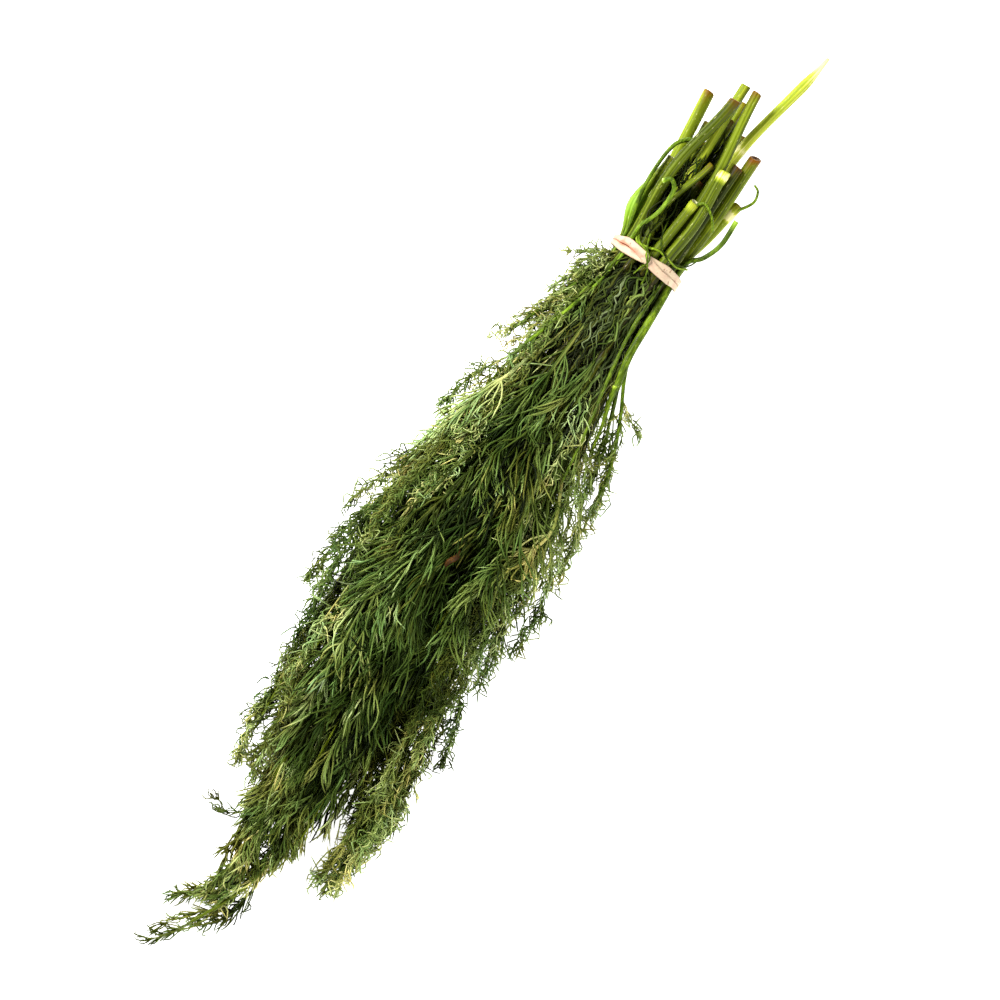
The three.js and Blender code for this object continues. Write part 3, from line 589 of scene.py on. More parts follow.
def blades(
    way, first, tone, rng, twig_pairs, thread_pairs, thread_stations, twig, thread, curly, spread, tint=0.0
):
    """Leaves on the given ways. Each way carries twigs from its share "first" on, in pairs that lean out
    less and reach less far towards its end, and every twig carries threads in the same manner. Some leaves
    are folded to a brush and some spread."""
    leaves = len(way)
    length = np.linalg.norm(np.diff(way, axis=1), axis=2).sum(axis=1) * (1 - first)
    t = np.linspace(0.02, 0.97, twig_pairs)[None, :, None]
    t = np.clip(t + rng.uniform(-0.04, 0.04, (leaves, twig_pairs, 2)), 0, 1)
    place = first[:, None, None] + (1 - first)[:, None, None] * t
    start = on_way(way, place)
    ahead = unit(on_way(way, place + 0.04) - on_way(way, place - 0.04))
    out = outward(start)
    beside = unit(np.cross(ahead, out))
    side = np.array([-1.0, 1.0])
    fold = spread * rng.uniform(0.4, 1.15, leaves)[:, None, None]
    lean = fold * mix(*TWIG_LEAN, t) + rng.normal(0, 0.12, t.shape)
    lift = rng.normal(0.05, 0.45, t.shape)
    twig_out = np.cos(lean)[..., None] * ahead + np.sin(lean)[..., None] * (
        (side * np.cos(lift))[..., None] * beside + np.sin(lift)[..., None] * out
    )
    twig_length = twig * length[:, None, None] * mix(*TWIG_REACH, t**0.8) * rng.uniform(0.75, 1.2, t.shape)
    own_way = 0.7 * rng.normal(0, 1, (leaves, 1, 1, 3)) + 0.6 * rng.normal(0, 1, ahead.shape)
    comb = unit(ahead + 0.3 * own_way + 0.2 * sway(start))
    wave = 0.12 * curly * rng.normal(0, 1, comb.shape)
    twigs = branch(start, twig_out, twig_length, comb, TWIG_STATIONS, wave)

    s = np.linspace(0.06, 0.96, thread_pairs)[:, None]
    s = s + rng.uniform(-0.06, 0.06, (*t.shape, thread_pairs, 2))
    flat = twigs.reshape(-1, TWIG_STATIONS, 3)
    flat_s = s.reshape(len(flat), -1)
    root = on_way(flat, flat_s).reshape(*s.shape, 3)
    heading = unit(on_way(flat, flat_s + 0.2) - on_way(flat, flat_s - 0.2)).reshape(*s.shape, 3)
    sideways = unit(np.cross(heading, out[..., None, None, :]))
    tilt = np.cross(sideways, heading)
    lean = fold[..., None, None] * mix(*THREAD_LEAN, s) + rng.normal(0, 0.1 + 0.2 * curly, s.shape)
    lift = rng.normal(0, 0.6, s.shape)
    thread_out = np.cos(lean)[..., None] * heading + np.sin(lean)[..., None] * (
        (side * np.cos(lift))[..., None] * sideways + np.sin(lift)[..., None] * tilt
    )
    size = thread * mix(*THREAD_LENGTH, s) * rng.uniform(0.6, 1.3, s.shape)
    size = size * mix(1, 0.75, t)[..., None, None]
    comb = heading + 0.6 * ahead[..., None, None, :] + 0.42 * own_way[..., None, None, :]
    comb = unit(comb + 0.45 * sway(root) + 0.75 * curly * rng.normal(0, 1, heading.shape))
    wave = 0.22 * curly * rng.normal(0, 1, comb.shape)
    threads = branch(root, thread_out, size, comb, thread_stations, wave)

    twig_tone = tone[:, None, None] + rng.normal(0, 0.08, t.shape)
    thread_tone = twig_tone[..., None, None] + rng.normal(0, 0.04, s.shape)
    hue = rng.normal(0.5, 0.22, leaves) + tint - 0.6 * np.maximum(tone - 0.6, 0)
    hue = mix(hue, PALE_HUE, PALE_SHARE * ease((tone - 0.3) / 0.25))
    twig_hue = hue[:, None, None] + rng.normal(0, 0.12, t.shape)
    thread_hue = twig_hue[..., None, None] + 0 * s
    shares = np.linspace(0, 1, WAY_STATIONS)
    fine = mix(LACY_FINE, 1, (thread - LACY["thread"]) / (1 - LACY["thread"]))
    radius = RACHIS_RADIUS * fine * mix(1, 0.5, shares[:-1]) * np.ones((leaves, 1))
    points, faces = tubes(laid(way), radius, RACHIS_SIDES)
    tones, hues = (per_point(v[:, None] + 0 * way[..., 0], RACHIS_SIDES) for v in (tone, hue - 0.15))
    made = [part(points, faces, tones, 0.2, LEAF, None, hues)]
    for rows, width, own_tone, own_hue, stations in (
        (twigs, TWIG_RADIUS * fine, twig_tone, twig_hue, TWIG_STATIONS),
        (threads, THREAD_RADIUS * mix(0.5, 1, fine), thread_tone, thread_hue, thread_stations),
    ):
        rows = laid(rows.reshape(-1, stations, 3))
        shares = np.linspace(0, 1, stations)
        radius = width * mix(1, 0.7, shares[:-1] ** 2) * np.ones((len(rows), 1))
        points, faces = tubes(rows, radius, TWIG_SIDES)
        level = np.ones(stations)
        tones, hues = (per_point(v.reshape(-1, 1) * level, TWIG_SIDES) for v in (own_tone, own_hue))
        share = per_point(shares * np.ones((len(rows), 1)), TWIG_SIDES)
        made.append(part(points, faces, tones, share, LEAF, None, hues))
    return made


def hollow_off(along, u, v):
    """0 in the middle of the gap in the bundle's top, easing to 1 outside it and on the underside."""
    place = in_bundle(along, u, v)
    off = np.hypot((along - HOLLOW_AT[0]) / HOLLOW_SIZE[0], (-place[:, 1] - HOLLOW_AT[1]) / HOLLOW_SIZE[1])
    return np.where(v > -0.2, ease(off * 2 - 1), 1.0)


def leaf_ways(stem, stalk_from, end, angle, reach):
    """Ways of leaves from their stem outwards: u and v ease from the stem's to reach times the cosine and
    sine of the angle. Where the bundle draws in to its tail they end near the tail's middle."""
    t = np.linspace(0, 1, WAY_STATIONS)
    along = mix(stalk_from[:, None], end[:, None], t)
    u, v = stem_place(stem, along)
    in_tail = ease((end - TAIL_FROM) / TAIL_NARROWING) * (abs(stem["tip"][1]) < TAIL_WITHIN)
    closing = ease((end - TAIL_CLOSING[0]) / TAIL_CLOSING[1])
    reach = mix(reach, mix(*TAIL_REACH, closing), in_tail)
    u_end = reach * np.cos(angle) + mix(*TAIL_SHIFT, closing) * in_tail
    v_end = reach * np.sin(angle)
    drawn_in = mix(0.5, 1.0, hollow_off(end, u_end, v_end))
    away = ease(1.5 * t)[None]
    u = mix(u, (drawn_in * u_end)[:, None], away)
    v = mix(v, (drawn_in * v_end)[:, None], away)
    return in_bundle(along, u, v)


def leaf_hue(along):
    """How much bluer than yellowish leaves that end at each place are: straight lines between values."""
    return np.interp(along / MM, *LEAF_HUES)


def stem_fronds(stem, rng):
    """The leaves of a stem: outer ones that end on the bundle's outside and inner ones that fill it."""
    leafy, tip = stem["leafy"] * MM, stem["tip"][0] * MM
    count = max(5, round((tip - leafy) / FROND_SPACING))
    blade_from = mix(max(leafy, BLADES_FROM), tip - TIP_BARE, np.linspace(0, 1, count))
    blade_from = blade_from + rng.uniform(-3, 3, count) * MM
    stalk_from = np.maximum(blade_from - rng.uniform(*STALK_LENGTH, count), STALKS_FROM)
    blade_from = np.maximum(blade_from, stalk_from + LEAST_STALK)
    end = np.minimum(blade_from + rng.uniform(*BLADE_LENGTH, count), min(tip + TIP_PASSED, TAIL_BLADES_TO))
    in_tail = end > TAIL_FROM + 0.5 * TAIL_NARROWING
    u_end, v_end = stem_place(stem, end)
    own, depth = np.arctan2(v_end, u_end), np.hypot(u_end, v_end)
    angle = own + rng.normal(0, 1, count) * mix(*FAN, ease(depth))
    outer = (rng.uniform(0, 1, count) < OUTER_SHARE) | in_tail
    far = np.maximum(depth, 0.95) * rng.uniform(*OUTER_REACH, count)
    reach = np.where(outer, far, rng.uniform(*INNER_REACH, count))
    first = (blade_from - stalk_from) / (end - stalk_from)
    tone = MIDDLE_TONE + np.interp(end / MM, *TONE_SPREAD) * np.clip(rng.normal(0, 1, count), -2, 1.4)
    # Painted shade on the leaves that lie deep in the bundle.
    tone = tone + DEPTH_PAINTED_SHADE * np.minimum(reach - 1.05, 0.1)
    sideways = reach * np.abs(np.cos(angle))
    at_side = ease((sideways - 0.3) / 0.6)
    # Painted light and shade by where each leaf ends, on the top and at the sides.
    tone = tone + mix(np.interp(end / MM, *TOP_PAINTED_LIGHT_AND_SHADE), np.interp(end / MM, *SIDE_PAINTED_LIGHT), at_side)
    # Painted shade in the gap on top.
    tone = tone - HOLLOW_PAINTED_SHADE * (1 - hollow_off(end, reach * np.cos(angle), reach * np.sin(angle)))
    lacy = outer & (sideways > mix(*LACY_FROM, ease(end / LACY_WITHIN - 0.4)))
    tailing = outer & in_tail & (np.abs(stem["tip"][1]) < TAIL_WITHIN)
    way = leaf_ways(stem, stalk_from, end, angle, reach)
    kinds = (
        (outer & ~lacy & ~tailing, OUTER, 0),
        (~outer, INNER, INNER_PAINTED_SHADE),
        (lacy & ~tailing, LACY, 0),
        (tailing & (end <= STRAGGLING_FROM), TAILING, 0),
        (tailing & (end > STRAGGLING_FROM), STRAGGLING, 0),
    )
    made = []
    for chosen, kind, offset in kinds:
        if chosen.any():
            tint = leaf_hue(end[chosen]) + (LACY_HUE if kind is LACY else 0.0)
            shade = np.maximum(tone[chosen] + offset, LEAST_TONE)
            made += blades(way[chosen], first[chosen], shade, rng, **kind, tint=tint)
    return made


def collar(stem, rng):
    """Short curly leaves that leave a stem right beside the band and end outside the bundle on one side:
    the further to that side, the further out."""
    start = rng.uniform(*COLLAR_START, COLLAR_LEAVES) * MM
    end = start + rng.uniform(*COLLAR_LENGTH, COLLAR_LEAVES)
    angle = np.pi + rng.normal(-0.15, 0.5, COLLAR_LEAVES)
    reach = 1.02 + rng.uniform(0, 0.42, COLLAR_LEAVES) * np.clip(-np.cos(angle), 0, 1) ** 2
    way = leaf_ways(stem, start, end, angle, reach)
    tone = rng.normal(*COLLAR_TONE, COLLAR_LEAVES)
    return blades(way, np.full(COLLAR_LEAVES, COLLAR_BARE), tone, rng, **FRINGE, tint=FRINGE_HUE)


def strands(stem, rng, count, start, length, curl, tone, grey):
    """Long bare stalks and threads that leave the stem, run along the bundle's outside and wave. The place
    along and the angle round the bundle both swing by sines of the place, by more the higher curl is. Near
    the band they are lifted a little further out."""
    t = np.linspace(0, 1, STRAND_STATIONS)
    begin = rng.uniform(*start, (count, 1))
    even = begin + rng.uniform(*length, (count, 1)) * t
    ranges = (0, 6.3), STRAND_PACE, STRAND_CRIMP
    turn, pace, crimp = (rng.uniform(*each, (3, count, 1)) for each in ranges)
    swing = [np.sin(pace[k] * even + turn[k]) for k in range(3)]
    small = [np.sin(crimp[k] * even + turn[k - 1]) for k in range(3)]
    along = np.clip(even + 1.5 * MM * curl * small[0], begin, stem["tip"][0] * MM)
    u, v = stem_place(stem, np.maximum(along, 0))
    own = np.arctan2(v, u)[:, :1] + rng.normal(0, 0.5, (count, 1))
    thick, depth = rng.uniform(0, 1, (2, count, 1))
    angle = own + 0.07 * swing[0] + mix(0.015, 0.1, curl) * small[1]
    reach = mix(0.92, 1.12, depth) + 0.04 * swing[2] + 0.04 * curl * small[2]
    lift = STRAND_LIFT * (1 - ease(along / LIFTED_WITHIN))
    away = ease((along - begin) / (7 * MM))
    u_way, v_way = (reach + 0.3 * lift) * np.cos(angle), (reach + lift) * np.sin(angle)
    way = laid(in_bundle(along, mix(u, u_way, away), mix(v, v_way, away)))
    radius = mix(0.2, mix(0.85, 0.3, curl), thick**3) * MM * mix(1.1, 0.7, t[:-1])
    points, faces = tubes(way, radius, STRAND_SIDES)
    # Painted shade: the deep strands are coloured darker than the outer ones.
    lit = (depth > 0.62) * 1.0
    tone = mix(tone[0], tone[1], lit) + rng.normal(0, 0.12, (count, 1)) + 0 * t
    hue = rng.normal(0.25, 0.16, (count, 1)) + 0.25 * lit + 0.6 * leaf_hue(begin)
    hue = np.where(rng.uniform(0, 1, (count, 1)) < grey, GREY_HUE, hue) + 0 * t
    tones, hues = per_point(tone, STRAND_SIDES), per_point(hue, STRAND_SIDES)
    return part(points, faces, tones, 0.3, LEAF, None, hues)


# Wilted threads among the cut stems, coloured near black, partly as painted shade between the stems: by
# stem, how many, and where they start and how far they run along.
TANGLES = {
    0: (9, (-10, -2), (10, 24)),
    4: (16, (-26, -2), (12, 26)),
    5: (22, (-14, -2), (10, 22)),
    9: (26, (-28, -2), (12, 26)),
    10: (30, (-30, -2), (12, 30)),
    11: (22, (-36, -4), (12, 26)),
}
TANGLE_STATIONS, TANGLE_SIDES = 18, 4
TANGLE_RADIUS = 0.36, 0.22  # in millimetres, at the start and end
TANGLE_SIZE, TANGLE_PACE = (0.2, 0.9), (2, 9)  # of the waves on a thread's way, and their radians on it
TANGLE_SWAY = 1.6, 2.2, 0.6  # in millimetres, for a wave of size 1: along, across and up
# The threads' tone: dark for their wilting, and darker still as painted shade among the cut stems.
TANGLE_WILT_AND_SHADE, TANGLE_HUE = (0.04, 0.14), (0.2, 0.3)  # mean and spread


def tangle(stem, rng, count, start, length):
    """Wilted threads that leave the stem before the band and lie on top of its neighbours: each place on
    the way is moved along, across and up by sums of two sines that grow from the start."""
    t = np.linspace(0, 1, TANGLE_STATIONS)
    ranges = (0, 6.3), TANGLE_SIZE, TANGLE_PACE
    turn, size, pace = (rng.uniform(*each, (6, count, 1)) for each in ranges)
    swing = [size[k] * (np.sin(pace[k] * t + turn[k]) - np.sin(turn[k])) for k in range(6)]
    along = MM * (rng.uniform(*start, (count, 1)) - rng.uniform(*length, (count, 1)) * t)
    along = np.maximum(along, stem["cut"][0] * MM)
    sway_along, sway_across, sway_up = (MM * each for each in TANGLE_SWAY)
    way = stem_point(stem, along + sway_along * (swing[0] + swing[1]))
    way[..., 1] += sway_across * (swing[2] + swing[3])
    way[..., 2] += ease(t * 4) * (stem["radius"] + 0.5) * MM + sway_up * (swing[4] + swing[5])
    points, faces = tubes(way, mix(*TANGLE_RADIUS, t[:-1]) * MM * np.ones((count, 1)), TANGLE_SIDES)
    tone = rng.normal(*TANGLE_WILT_AND_SHADE, (count, 1)) + 0 * t
    hue = rng.normal(*TANGLE_HUE, (count, 1)) + 0 * t
    tones, hues = per_point(tone, TANGLE_SIDES), per_point(hue, TANGLE_SIDES)
    return part(points, faces, tones, 0.3, LEAF, None, hues)


def smooth_way(points, count):
    """A smooth way through the points, in millimetres: a cubic between each two that leaves a point along
    the line between its neighbours."""
    points = np.array([[-a, -b, c] for a, b, c in points]) * MM
    padded = np.concatenate([2 * points[:1] - points[1:2], points, 2 * points[-1:] - points[-2:-1]])
    place = np.linspace(0, len(points) - 1, count)
    i = np.minimum(place.astype(int), len(points) - 2)
    t = (place - i)[:, None]
    a, b, c, d = (padded[i + k] for k in range(4))
    return 0.5 * (2 * b + (c - a) * t + (2 * a - 5 * b + 4 * c - d) * t**2 + (3 * b - a - 3 * c + d) * t**3)


# Leaves that stand out from the bundle: the stem that bears each, its kind, how light it is, how much bluer
# than yellowish, and points on its way, in millimetres along, across and up.
WISPS = [
    (3, LACY, 0.6, 0.0, [(55, -23, 24), (68, -30, 18), (80, -33.4, 13)]),
    (8, LACY, 0.6, 0.1, [(98, -30, 20), (113, -37, 15), (130, -43, 9)]),
    (8, LACY, 0.5, 0.1, [(133, -34, 18), (147, -38, 13), (160, -40, 8)]),
    (8, LACY, 0.55, 0.0, [(117, -29, 18), (128, -35, 15), (139, -38.5, 11)]),
    (14, LACY, 0.5, 0.0, [(152, -26, 14), (166, -29, 10), (178, -30, 6)]),
    (8, LACY, 0.5, 0.0, [(188, -25, 16), (209, -30.5, 11), (227, -27.6, 6)]),
    (10, STRAGGLING, 0.46, -0.45, [(262, -0.5, 8), (271.5, -5.9, 6), (279.1, -12.4, 4), (283.5, -17, 3)]),
    (10, STRAGGLING, 0.46, -0.45, [(260, -1.5, 8), (268, -4, 6), (275, -9.5, 4), (282, -15, 3)]),
    (10, STRAGGLING, 0.47, -0.5, [
        (266, 4.5, 7), (274, 3.6, 6), (281, 2.6, 5), (289, -4.6, 5), (297, -11.8, 4), (304, -17.2, 3),
    ]),
    (10, STRAGGLING, 0.47, -0.5, [(268, 1, 7), (275, 0, 5), (281, -3, 4), (288, -10, 4), (296, -15.8, 3)]),
    (10, STRAGGLING, 0.46, -0.5, [(262, 4, 7), (271, 4, 6), (280, 1.4, 4), (290, -7, 4), (299, -13.6, 3)]),
    (12, TAILING, 0.44, -0.3, [(208, 23, 14), (226, 27, 10), (244, 28, 6)]),
    (12, TAILING, 0.5, -0.4, [(214, 26, 11), (232, 28.5, 8), (248, 27, 5)]),
    (13, TAILING, 0.48, -0.4, [(202, 29.5, 11), (219, 32, 8), (239, 30.5, 5)]),
    (13, LACY, 0.52, -0.45, [(211, 30, 10), (231, 29.5, 8), (250, 27.7, 5)]),
    (13, LACY, 0.5, 0.0, [(166, 28.5, 15), (178, 34, 11), (190, 36.4, 8)]),
    (18, LACY, 0.6, 0.0, [(138, 27, 12), (149, 30, 9), (160, 32, 6)]),
    (7, LACY, 0.6, 0.0, [(111, 31.5, 18), (127, 36, 14), (141, 36, 10)]),
    (7, LACY, 0.7, 0.0, [(87, 29, 20), (98, 33, 16), (109, 35.5, 12)]),
    (13, LACY, 0.6, -0.25, [
        (46, 17, 19), (56.5, 22.6, 17), (66.7, 28.4, 14), (77, 31.4, 12), (89, 33, 10),
    ]),
    (13, LACY, 0.5, -0.25, [(60, 21, 18), (72, 24.5, 16), (84, 28, 13)]),
    (13, SPRIG, 0.75, -0.3, [(44, 19, 18), (49, 23, 17), (51.5, 28, 15), (53, 30, 13)]),
    (7, OUTER, 0.8, -0.1, [(98, 24, 31), (110, 22, 34), (121, 16, 38), (130, 12, 39)]),
    (3, OUTER, 0.9, -0.1, [(60, -19, 30), (72, -24, 29), (86, -28.5, 25), (100, -31, 20)]),
    (3, FRINGE, 0.75, -0.35, [(24, -16, 20), (31, -21, 19), (38, -26, 17)]),
    (3, FRINGE, 0.75, -0.35, [(36, -20, 20), (43, -26, 18), (50, -31, 15)]),
    (3, FRINGE, 0.78, -0.35, [(36, -16, 21), (43, -20, 19), (50, -24.6, 17)]),
    (3, FRINGE, 0.78, -0.35, [(4, -13, 18), (8, -16.5, 18), (13, -20.5, 16)]),
    (3, SPRIG, 0.7, -0.3, [(4, -13, 18), (7, -18.5, 17), (11, -25, 14)]),
    (3, SPRIG, 0.75, -0.3, [(12, -16, 19), (18, -19.5, 18), (24, -23, 16)]),
    (9, SPRIG, 0.44, -0.8, [(238, -5, 9), (246, -14.3, 5), (249.4, -18.8, 4), (247.2, -24.1, 3)]),
]
WISP_STALK = 18 * MM  # of a wisp before its first point
BARE_SHARE = 0.3  # of a wisp, before its first twig


def wisps(index, stem, rng):
    """The stem's leaves that stand out, each a narrow blade on a smooth way from the stem."""
    made = []
    for owner, kind, tone, tint, points in WISPS:
        if owner == index:
            start = np.maximum(points[0][0] * MM - WISP_STALK, 1 * MM)
            root = stem_point(stem, np.array([start]))[0] / MM
            way = smooth_way([(-root[0], -root[1], root[2]), *points], WAY_STATIONS)
            made += blades(way[None], np.array([BARE_SHARE]), np.array([tone]), rng, **kind, tint=tint)
    return made


def leaf_green():
    """Soft green, from dark to pale by leaf and thread, a tone that also holds the painted light and shade
    of each leaf's place, and a little paler towards the tips of threads, more or less blue by leaf and
    place. It lets light through."""
    made, tree = new_material("leaf_thread")
    place = node(tree, "ShaderNodeTexCoord").outputs["Object"]
    patch = noise(tree, place, 55.0, 2)
    fine = noise(tree, place, 1400.0, 2)
    drift = noise(tree, place, 75.0, 2)
    share = added(tree, centred(tree, patch, 0.8), attribute(tree, "tone"), clamp=False)
    share = added(tree, share, maths(tree, "MULTIPLY", attribute(tree, "share"), 0.15))
    hue = added(tree, centred(tree, drift, 1.1), attribute(tree, "hue"))
    tints = [
        (0.0, (1.28, 1.0, 0.74)),
        (0.28, (1.0, 1.0, 0.82)),
        (0.55, (0.86, 1.0, 0.88)),
        (0.85, (0.72, 1.0, 0.95)),
        (1.0, (1.05, 1.0, 1.8)),
    ]
    greens = [
        (0.0, (0.007, 0.011, 0.001)),
        (0.25, (0.028, 0.045, 0.004)),
        (0.5, (0.088, 0.125, 0.019)),
        (0.75, (0.242, 0.31, 0.083)),
        (1.0, (0.66, 0.72, 0.34)),
    ]
    glows = [(0.0, (0.015, 0.022, 0.001)), (0.5, (0.17, 0.22, 0.01)), (1.0, (0.5, 0.55, 0.06))]
    tint = ramp(tree, hue, tints)
    colour = tinted(tree, ramp(tree, share, greens), tint)
    through = tinted(tree, ramp(tree, share, glows), tint)
    roughness = maths(tree, "MULTIPLY_ADD", fine, 0.25, 0.42)
    finish_material(tree, colour, roughness, fine, 0.00008, through, 0.35, 0.1)
    return made


def add_piece(name, parts, materials, cad_node):
    """Joins the parts into one mesh with its attributes and materials, in the place of its CAD node."""
    start = np.cumsum([0] + [len(p["points"]) for p in parts])
    keys = "points", "tone", "share", "hue", "grain", "material"
    joined = {key: np.concatenate([p[key] for p in parts]) for key in keys}
    faces = np.concatenate([p["faces"] + s for p, s in zip(parts, start)]).astype(np.int32)
    mesh = bpy.data.meshes.new(name)
    mesh.vertices.add(len(joined["points"]))
    mesh.vertices.foreach_set("co", joined["points"].astype(np.float32).ravel())
    mesh.loops.add(faces.size)
    mesh.loops.foreach_set("vertex_index", faces.ravel())
    mesh.polygons.add(len(faces))
    mesh.polygons.foreach_set("loop_start", np.arange(0, faces.size, 3, dtype=np.int32))
    mesh.polygons.foreach_set("material_index", joined["material"].astype(np.int32))
    mesh.polygons.foreach_set("use_smooth", np.ones(len(faces), bool))
    mesh.update(calc_edges=True)
    for key in ("tone", "share", "hue"):
        mesh.attributes.new(key, "FLOAT", "POINT").data.foreach_set("value", joined[key].astype(np.float32))
    grain = mesh.attributes.new("grain", "FLOAT_VECTOR", "POINT")
    grain.data.foreach_set("vector", joined["grain"].astype(np.float32).ravel())
    for material in materials:
        mesh.materials.append(material)
    piece = bpy.data.objects.new(name, mesh)
    bpy.context.scene.collection.objects.link(piece)
    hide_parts(cad_node)
    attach(piece, "root")


# Thin stalks that curl from cut ends or lie across the stems beside the band: stem, radius, how light, and
# way, in millimetres.
CURLS = [
    (1, 0.62, 0.4, [(-25, 3, 24.4), (-28.6, 6.2, 26), (-26, 11, 26.4), (-21.5, 14.6, 23)]),
    (18, 0.62, 0.4, [
        (-33.5, 17.2, 13), (-37, 19.8, 14.2), (-40, 21, 15.5), (-43.4, 20, 17), (-44.6, 17.6, 18.6),
    ]),
    (6, 0.5, 0.55, [
        (-14, -9.5, 20.6), (-5, -7.4, 22), (-4.4, -3, 25), (-5.6, 1.8, 25.3), (-4.6, 7, 24.6),
        (-4.2, 10.5, 21.4), (-6.1, 14.7, 18),
    ]),
    (4, 0.4, 0.4, [
        (-8, -8, 20.8), (-4.7, -6, 24), (-3.2, -2.5, 27.4), (-0.9, -0.6, 29.2), (1, 1, 29),
        (3.4, 2.4, 26), (9, 3, 24.6),
    ]),
    (2, 0.36, 0.3, [
        (-12, -5, 22), (-4.6, -2.6, 26.4), (-1.4, 0.4, 29.2), (0.6, 0.6, 29.2), (3.2, -0.6, 26),
        (8, -2, 24.4),
    ]),
    (2, 0.36, 0.12, [
        (-20, -2, 20), (-9, 0.5, 24.8), (-4.8, 5.6, 25.3), (-4.8, 9.4, 22.4), (-7, 13.6, 18.4),
        (-12, 16, 16),
    ]),
]
CURL_THINNING = 0.68  # its last radius as a share of its first
CURL_STATIONS, CURL_SIDES = 32, 8
# Bare leaf stalks that lie over the edge of the bundle: stem, radius at the start and end, how light, and
# way, in millimetres. One at the edge forks in two.
SIDE_STALKS = [
    (13, 1.9, 1.35, 0.26, [(-1, 11.2, 16), (8, 12, 19), (20, 12.7, 22), (32, 13.4, 24), (46, 16.2, 24)]),
    (13, 1.2, 0.4, 0.32, [(43.5, 15.2, 24.4), (51, 16.8, 23.6), (58.6, 19, 21.5), (70, 21, 17)]),
    (13, 0.9, 0.35, 0.2, [(43.5, 15.9, 23.6), (50, 18.6, 22), (57, 21, 19), (68, 25, 15), (80, 28, 12)]),
    (7, 0.9, 0.4, 0.2, [
        (-1, 8.8, 20), (10, 8.8, 23), (24, 9, 24.5), (40, 11, 26), (60, 14.6, 28), (84, 18, 28),
    ]),
    (3, 0.8, 0.3, 0.24, [
        (-1, -8.8, 20), (8, -10, 22), (22, -13.5, 22), (38, -18, 22), (56, -22, 23), (76, -25, 24),
    ]),
]
STALK_PALE, STALK_PALE_TO = 0.45, 0.07  # how much paler its root is, and over what share of its length
STALK_RISE = 0.1  # how much paler it grows towards its end
SIDE_STATIONS, STALK_SIDES = 48, 10
STALK_GRAIN = 400  # units of grain in a metre of a bare stalk


def round_stalk(way, first, last, sides, tone, hue=0.75, rise=0.0, pale=0.0, pale_to=1.0):
    """A bare round stalk along the way that thins evenly from its first radius to its last, in millimetres.
    Its tone rises evenly by rise, and pale is added at its root and eases to 0 at the share pale_to."""
    t = np.linspace(0, 1, len(way))
    points, faces = tubes(way[None], (MM * mix(first, last, t[:-1]))[None], sides)
    share = per_point(t[None], sides)
    tones = tone + rise * share + pale * (1 - ease(share / pale_to))
    grain = points[:, [1, 2, 0]] * STALK_GRAIN
    return part(points, faces, tones, 0.0, SKIN, grain, hue)


def curls(index):
    """The stem's curls: round stalks along smooth ways."""
    return [
        round_stalk(smooth_way(points, CURL_STATIONS), radius, CURL_THINNING * radius, CURL_SIDES, tone)
        for owner, radius, tone, points in CURLS
        if owner == index
    ]


def side_stalks(index):
    """The stem's bare leaf stalks: round, along smooth ways, and pale at the root."""
    pale = dict(rise=STALK_RISE, pale=STALK_PALE, pale_to=STALK_PALE_TO)
    return [
        round_stalk(smooth_way(points, SIDE_STATIONS), first, last, STALK_SIDES, tone, **pale)
        for owner, first, last, tone, points in SIDE_STALKS
        if owner == index
    ]


# A dried scrap of leaf on top of the bunch: the stem it goes with, and its radius and way, in millimetres.
SCRAP_STEM, SCRAP_RADIUS, SCRAP_TONE, SCRAP_STATIONS, SCRAP_SIDES = 5, 1.1, 0.02, 12, 7
SCRAP_WAY = [(123.6, 0.6, 39.8), (126, 0.8, 41.8), (129, -0.8, 42.2), (131.5, -0.6, 40.8)]


def scrap():
    """The dried scrap: a short curled tube, brown all over, thickest in its middle by a sine."""
    share = np.linspace(0.06, 0.94, SCRAP_STATIONS)[:-1]
    thick = SCRAP_RADIUS * MM * (0.35 + 0.65 * np.sin(np.pi * share))
    points, faces = tubes(smooth_way(SCRAP_WAY, SCRAP_STATIONS)[None], thick[None], SCRAP_SIDES)
    return part(points, faces, SCRAP_TONE, 1.0, SKIN, points * STALK_GRAIN)


# Painted shade and painted light: hollows of the bunch, whose leaves are coloured darker as painted shade,
# and crests, whose leaves are coloured lighter as painted light: their place along and across, how long and
# wide they are, in millimetres, and how much lighter.
PAINTED_SHADE_AND_LIGHT = [
    (88, -8, 15, 13, -0.36), (138, 16, 20, 8, -0.28), (170, 26, 12, 8, -0.24), (166, -16, 9, 7, -0.16),
    (210, -17, 14, 6, 0.24), (228, -13, 10, 7, 0.2), (248, -4, 9, 6, -0.2), (190, 11, 12, 10, -0.13),
    (129, -27, 10, 7, -0.2), (164, 0, 14, 9, 0.1), (48, 16, 16, 7, 0.18), (228, 27, 22, 8, -0.14),
]


def with_painted_shade_and_light(leaf):
    """A part with painted light and shade on its leaf threads: their tone is raised by the sum of the bells
    round the middles of the hollows and crests.
    """
    along, across = -leaf["points"][:, 0] / MM, -leaf["points"][:, 1] / MM
    lighter = 0.0
    for place, side, long, wide, more in PAINTED_SHADE_AND_LIGHT:
        lighter = lighter + more * np.exp(-(((along - place) / long) ** 2) - ((across - side) / wide) ** 2)
    return dict(leaf, tone=leaf["tone"] + lighter * (leaf["material"][0] == LEAF))


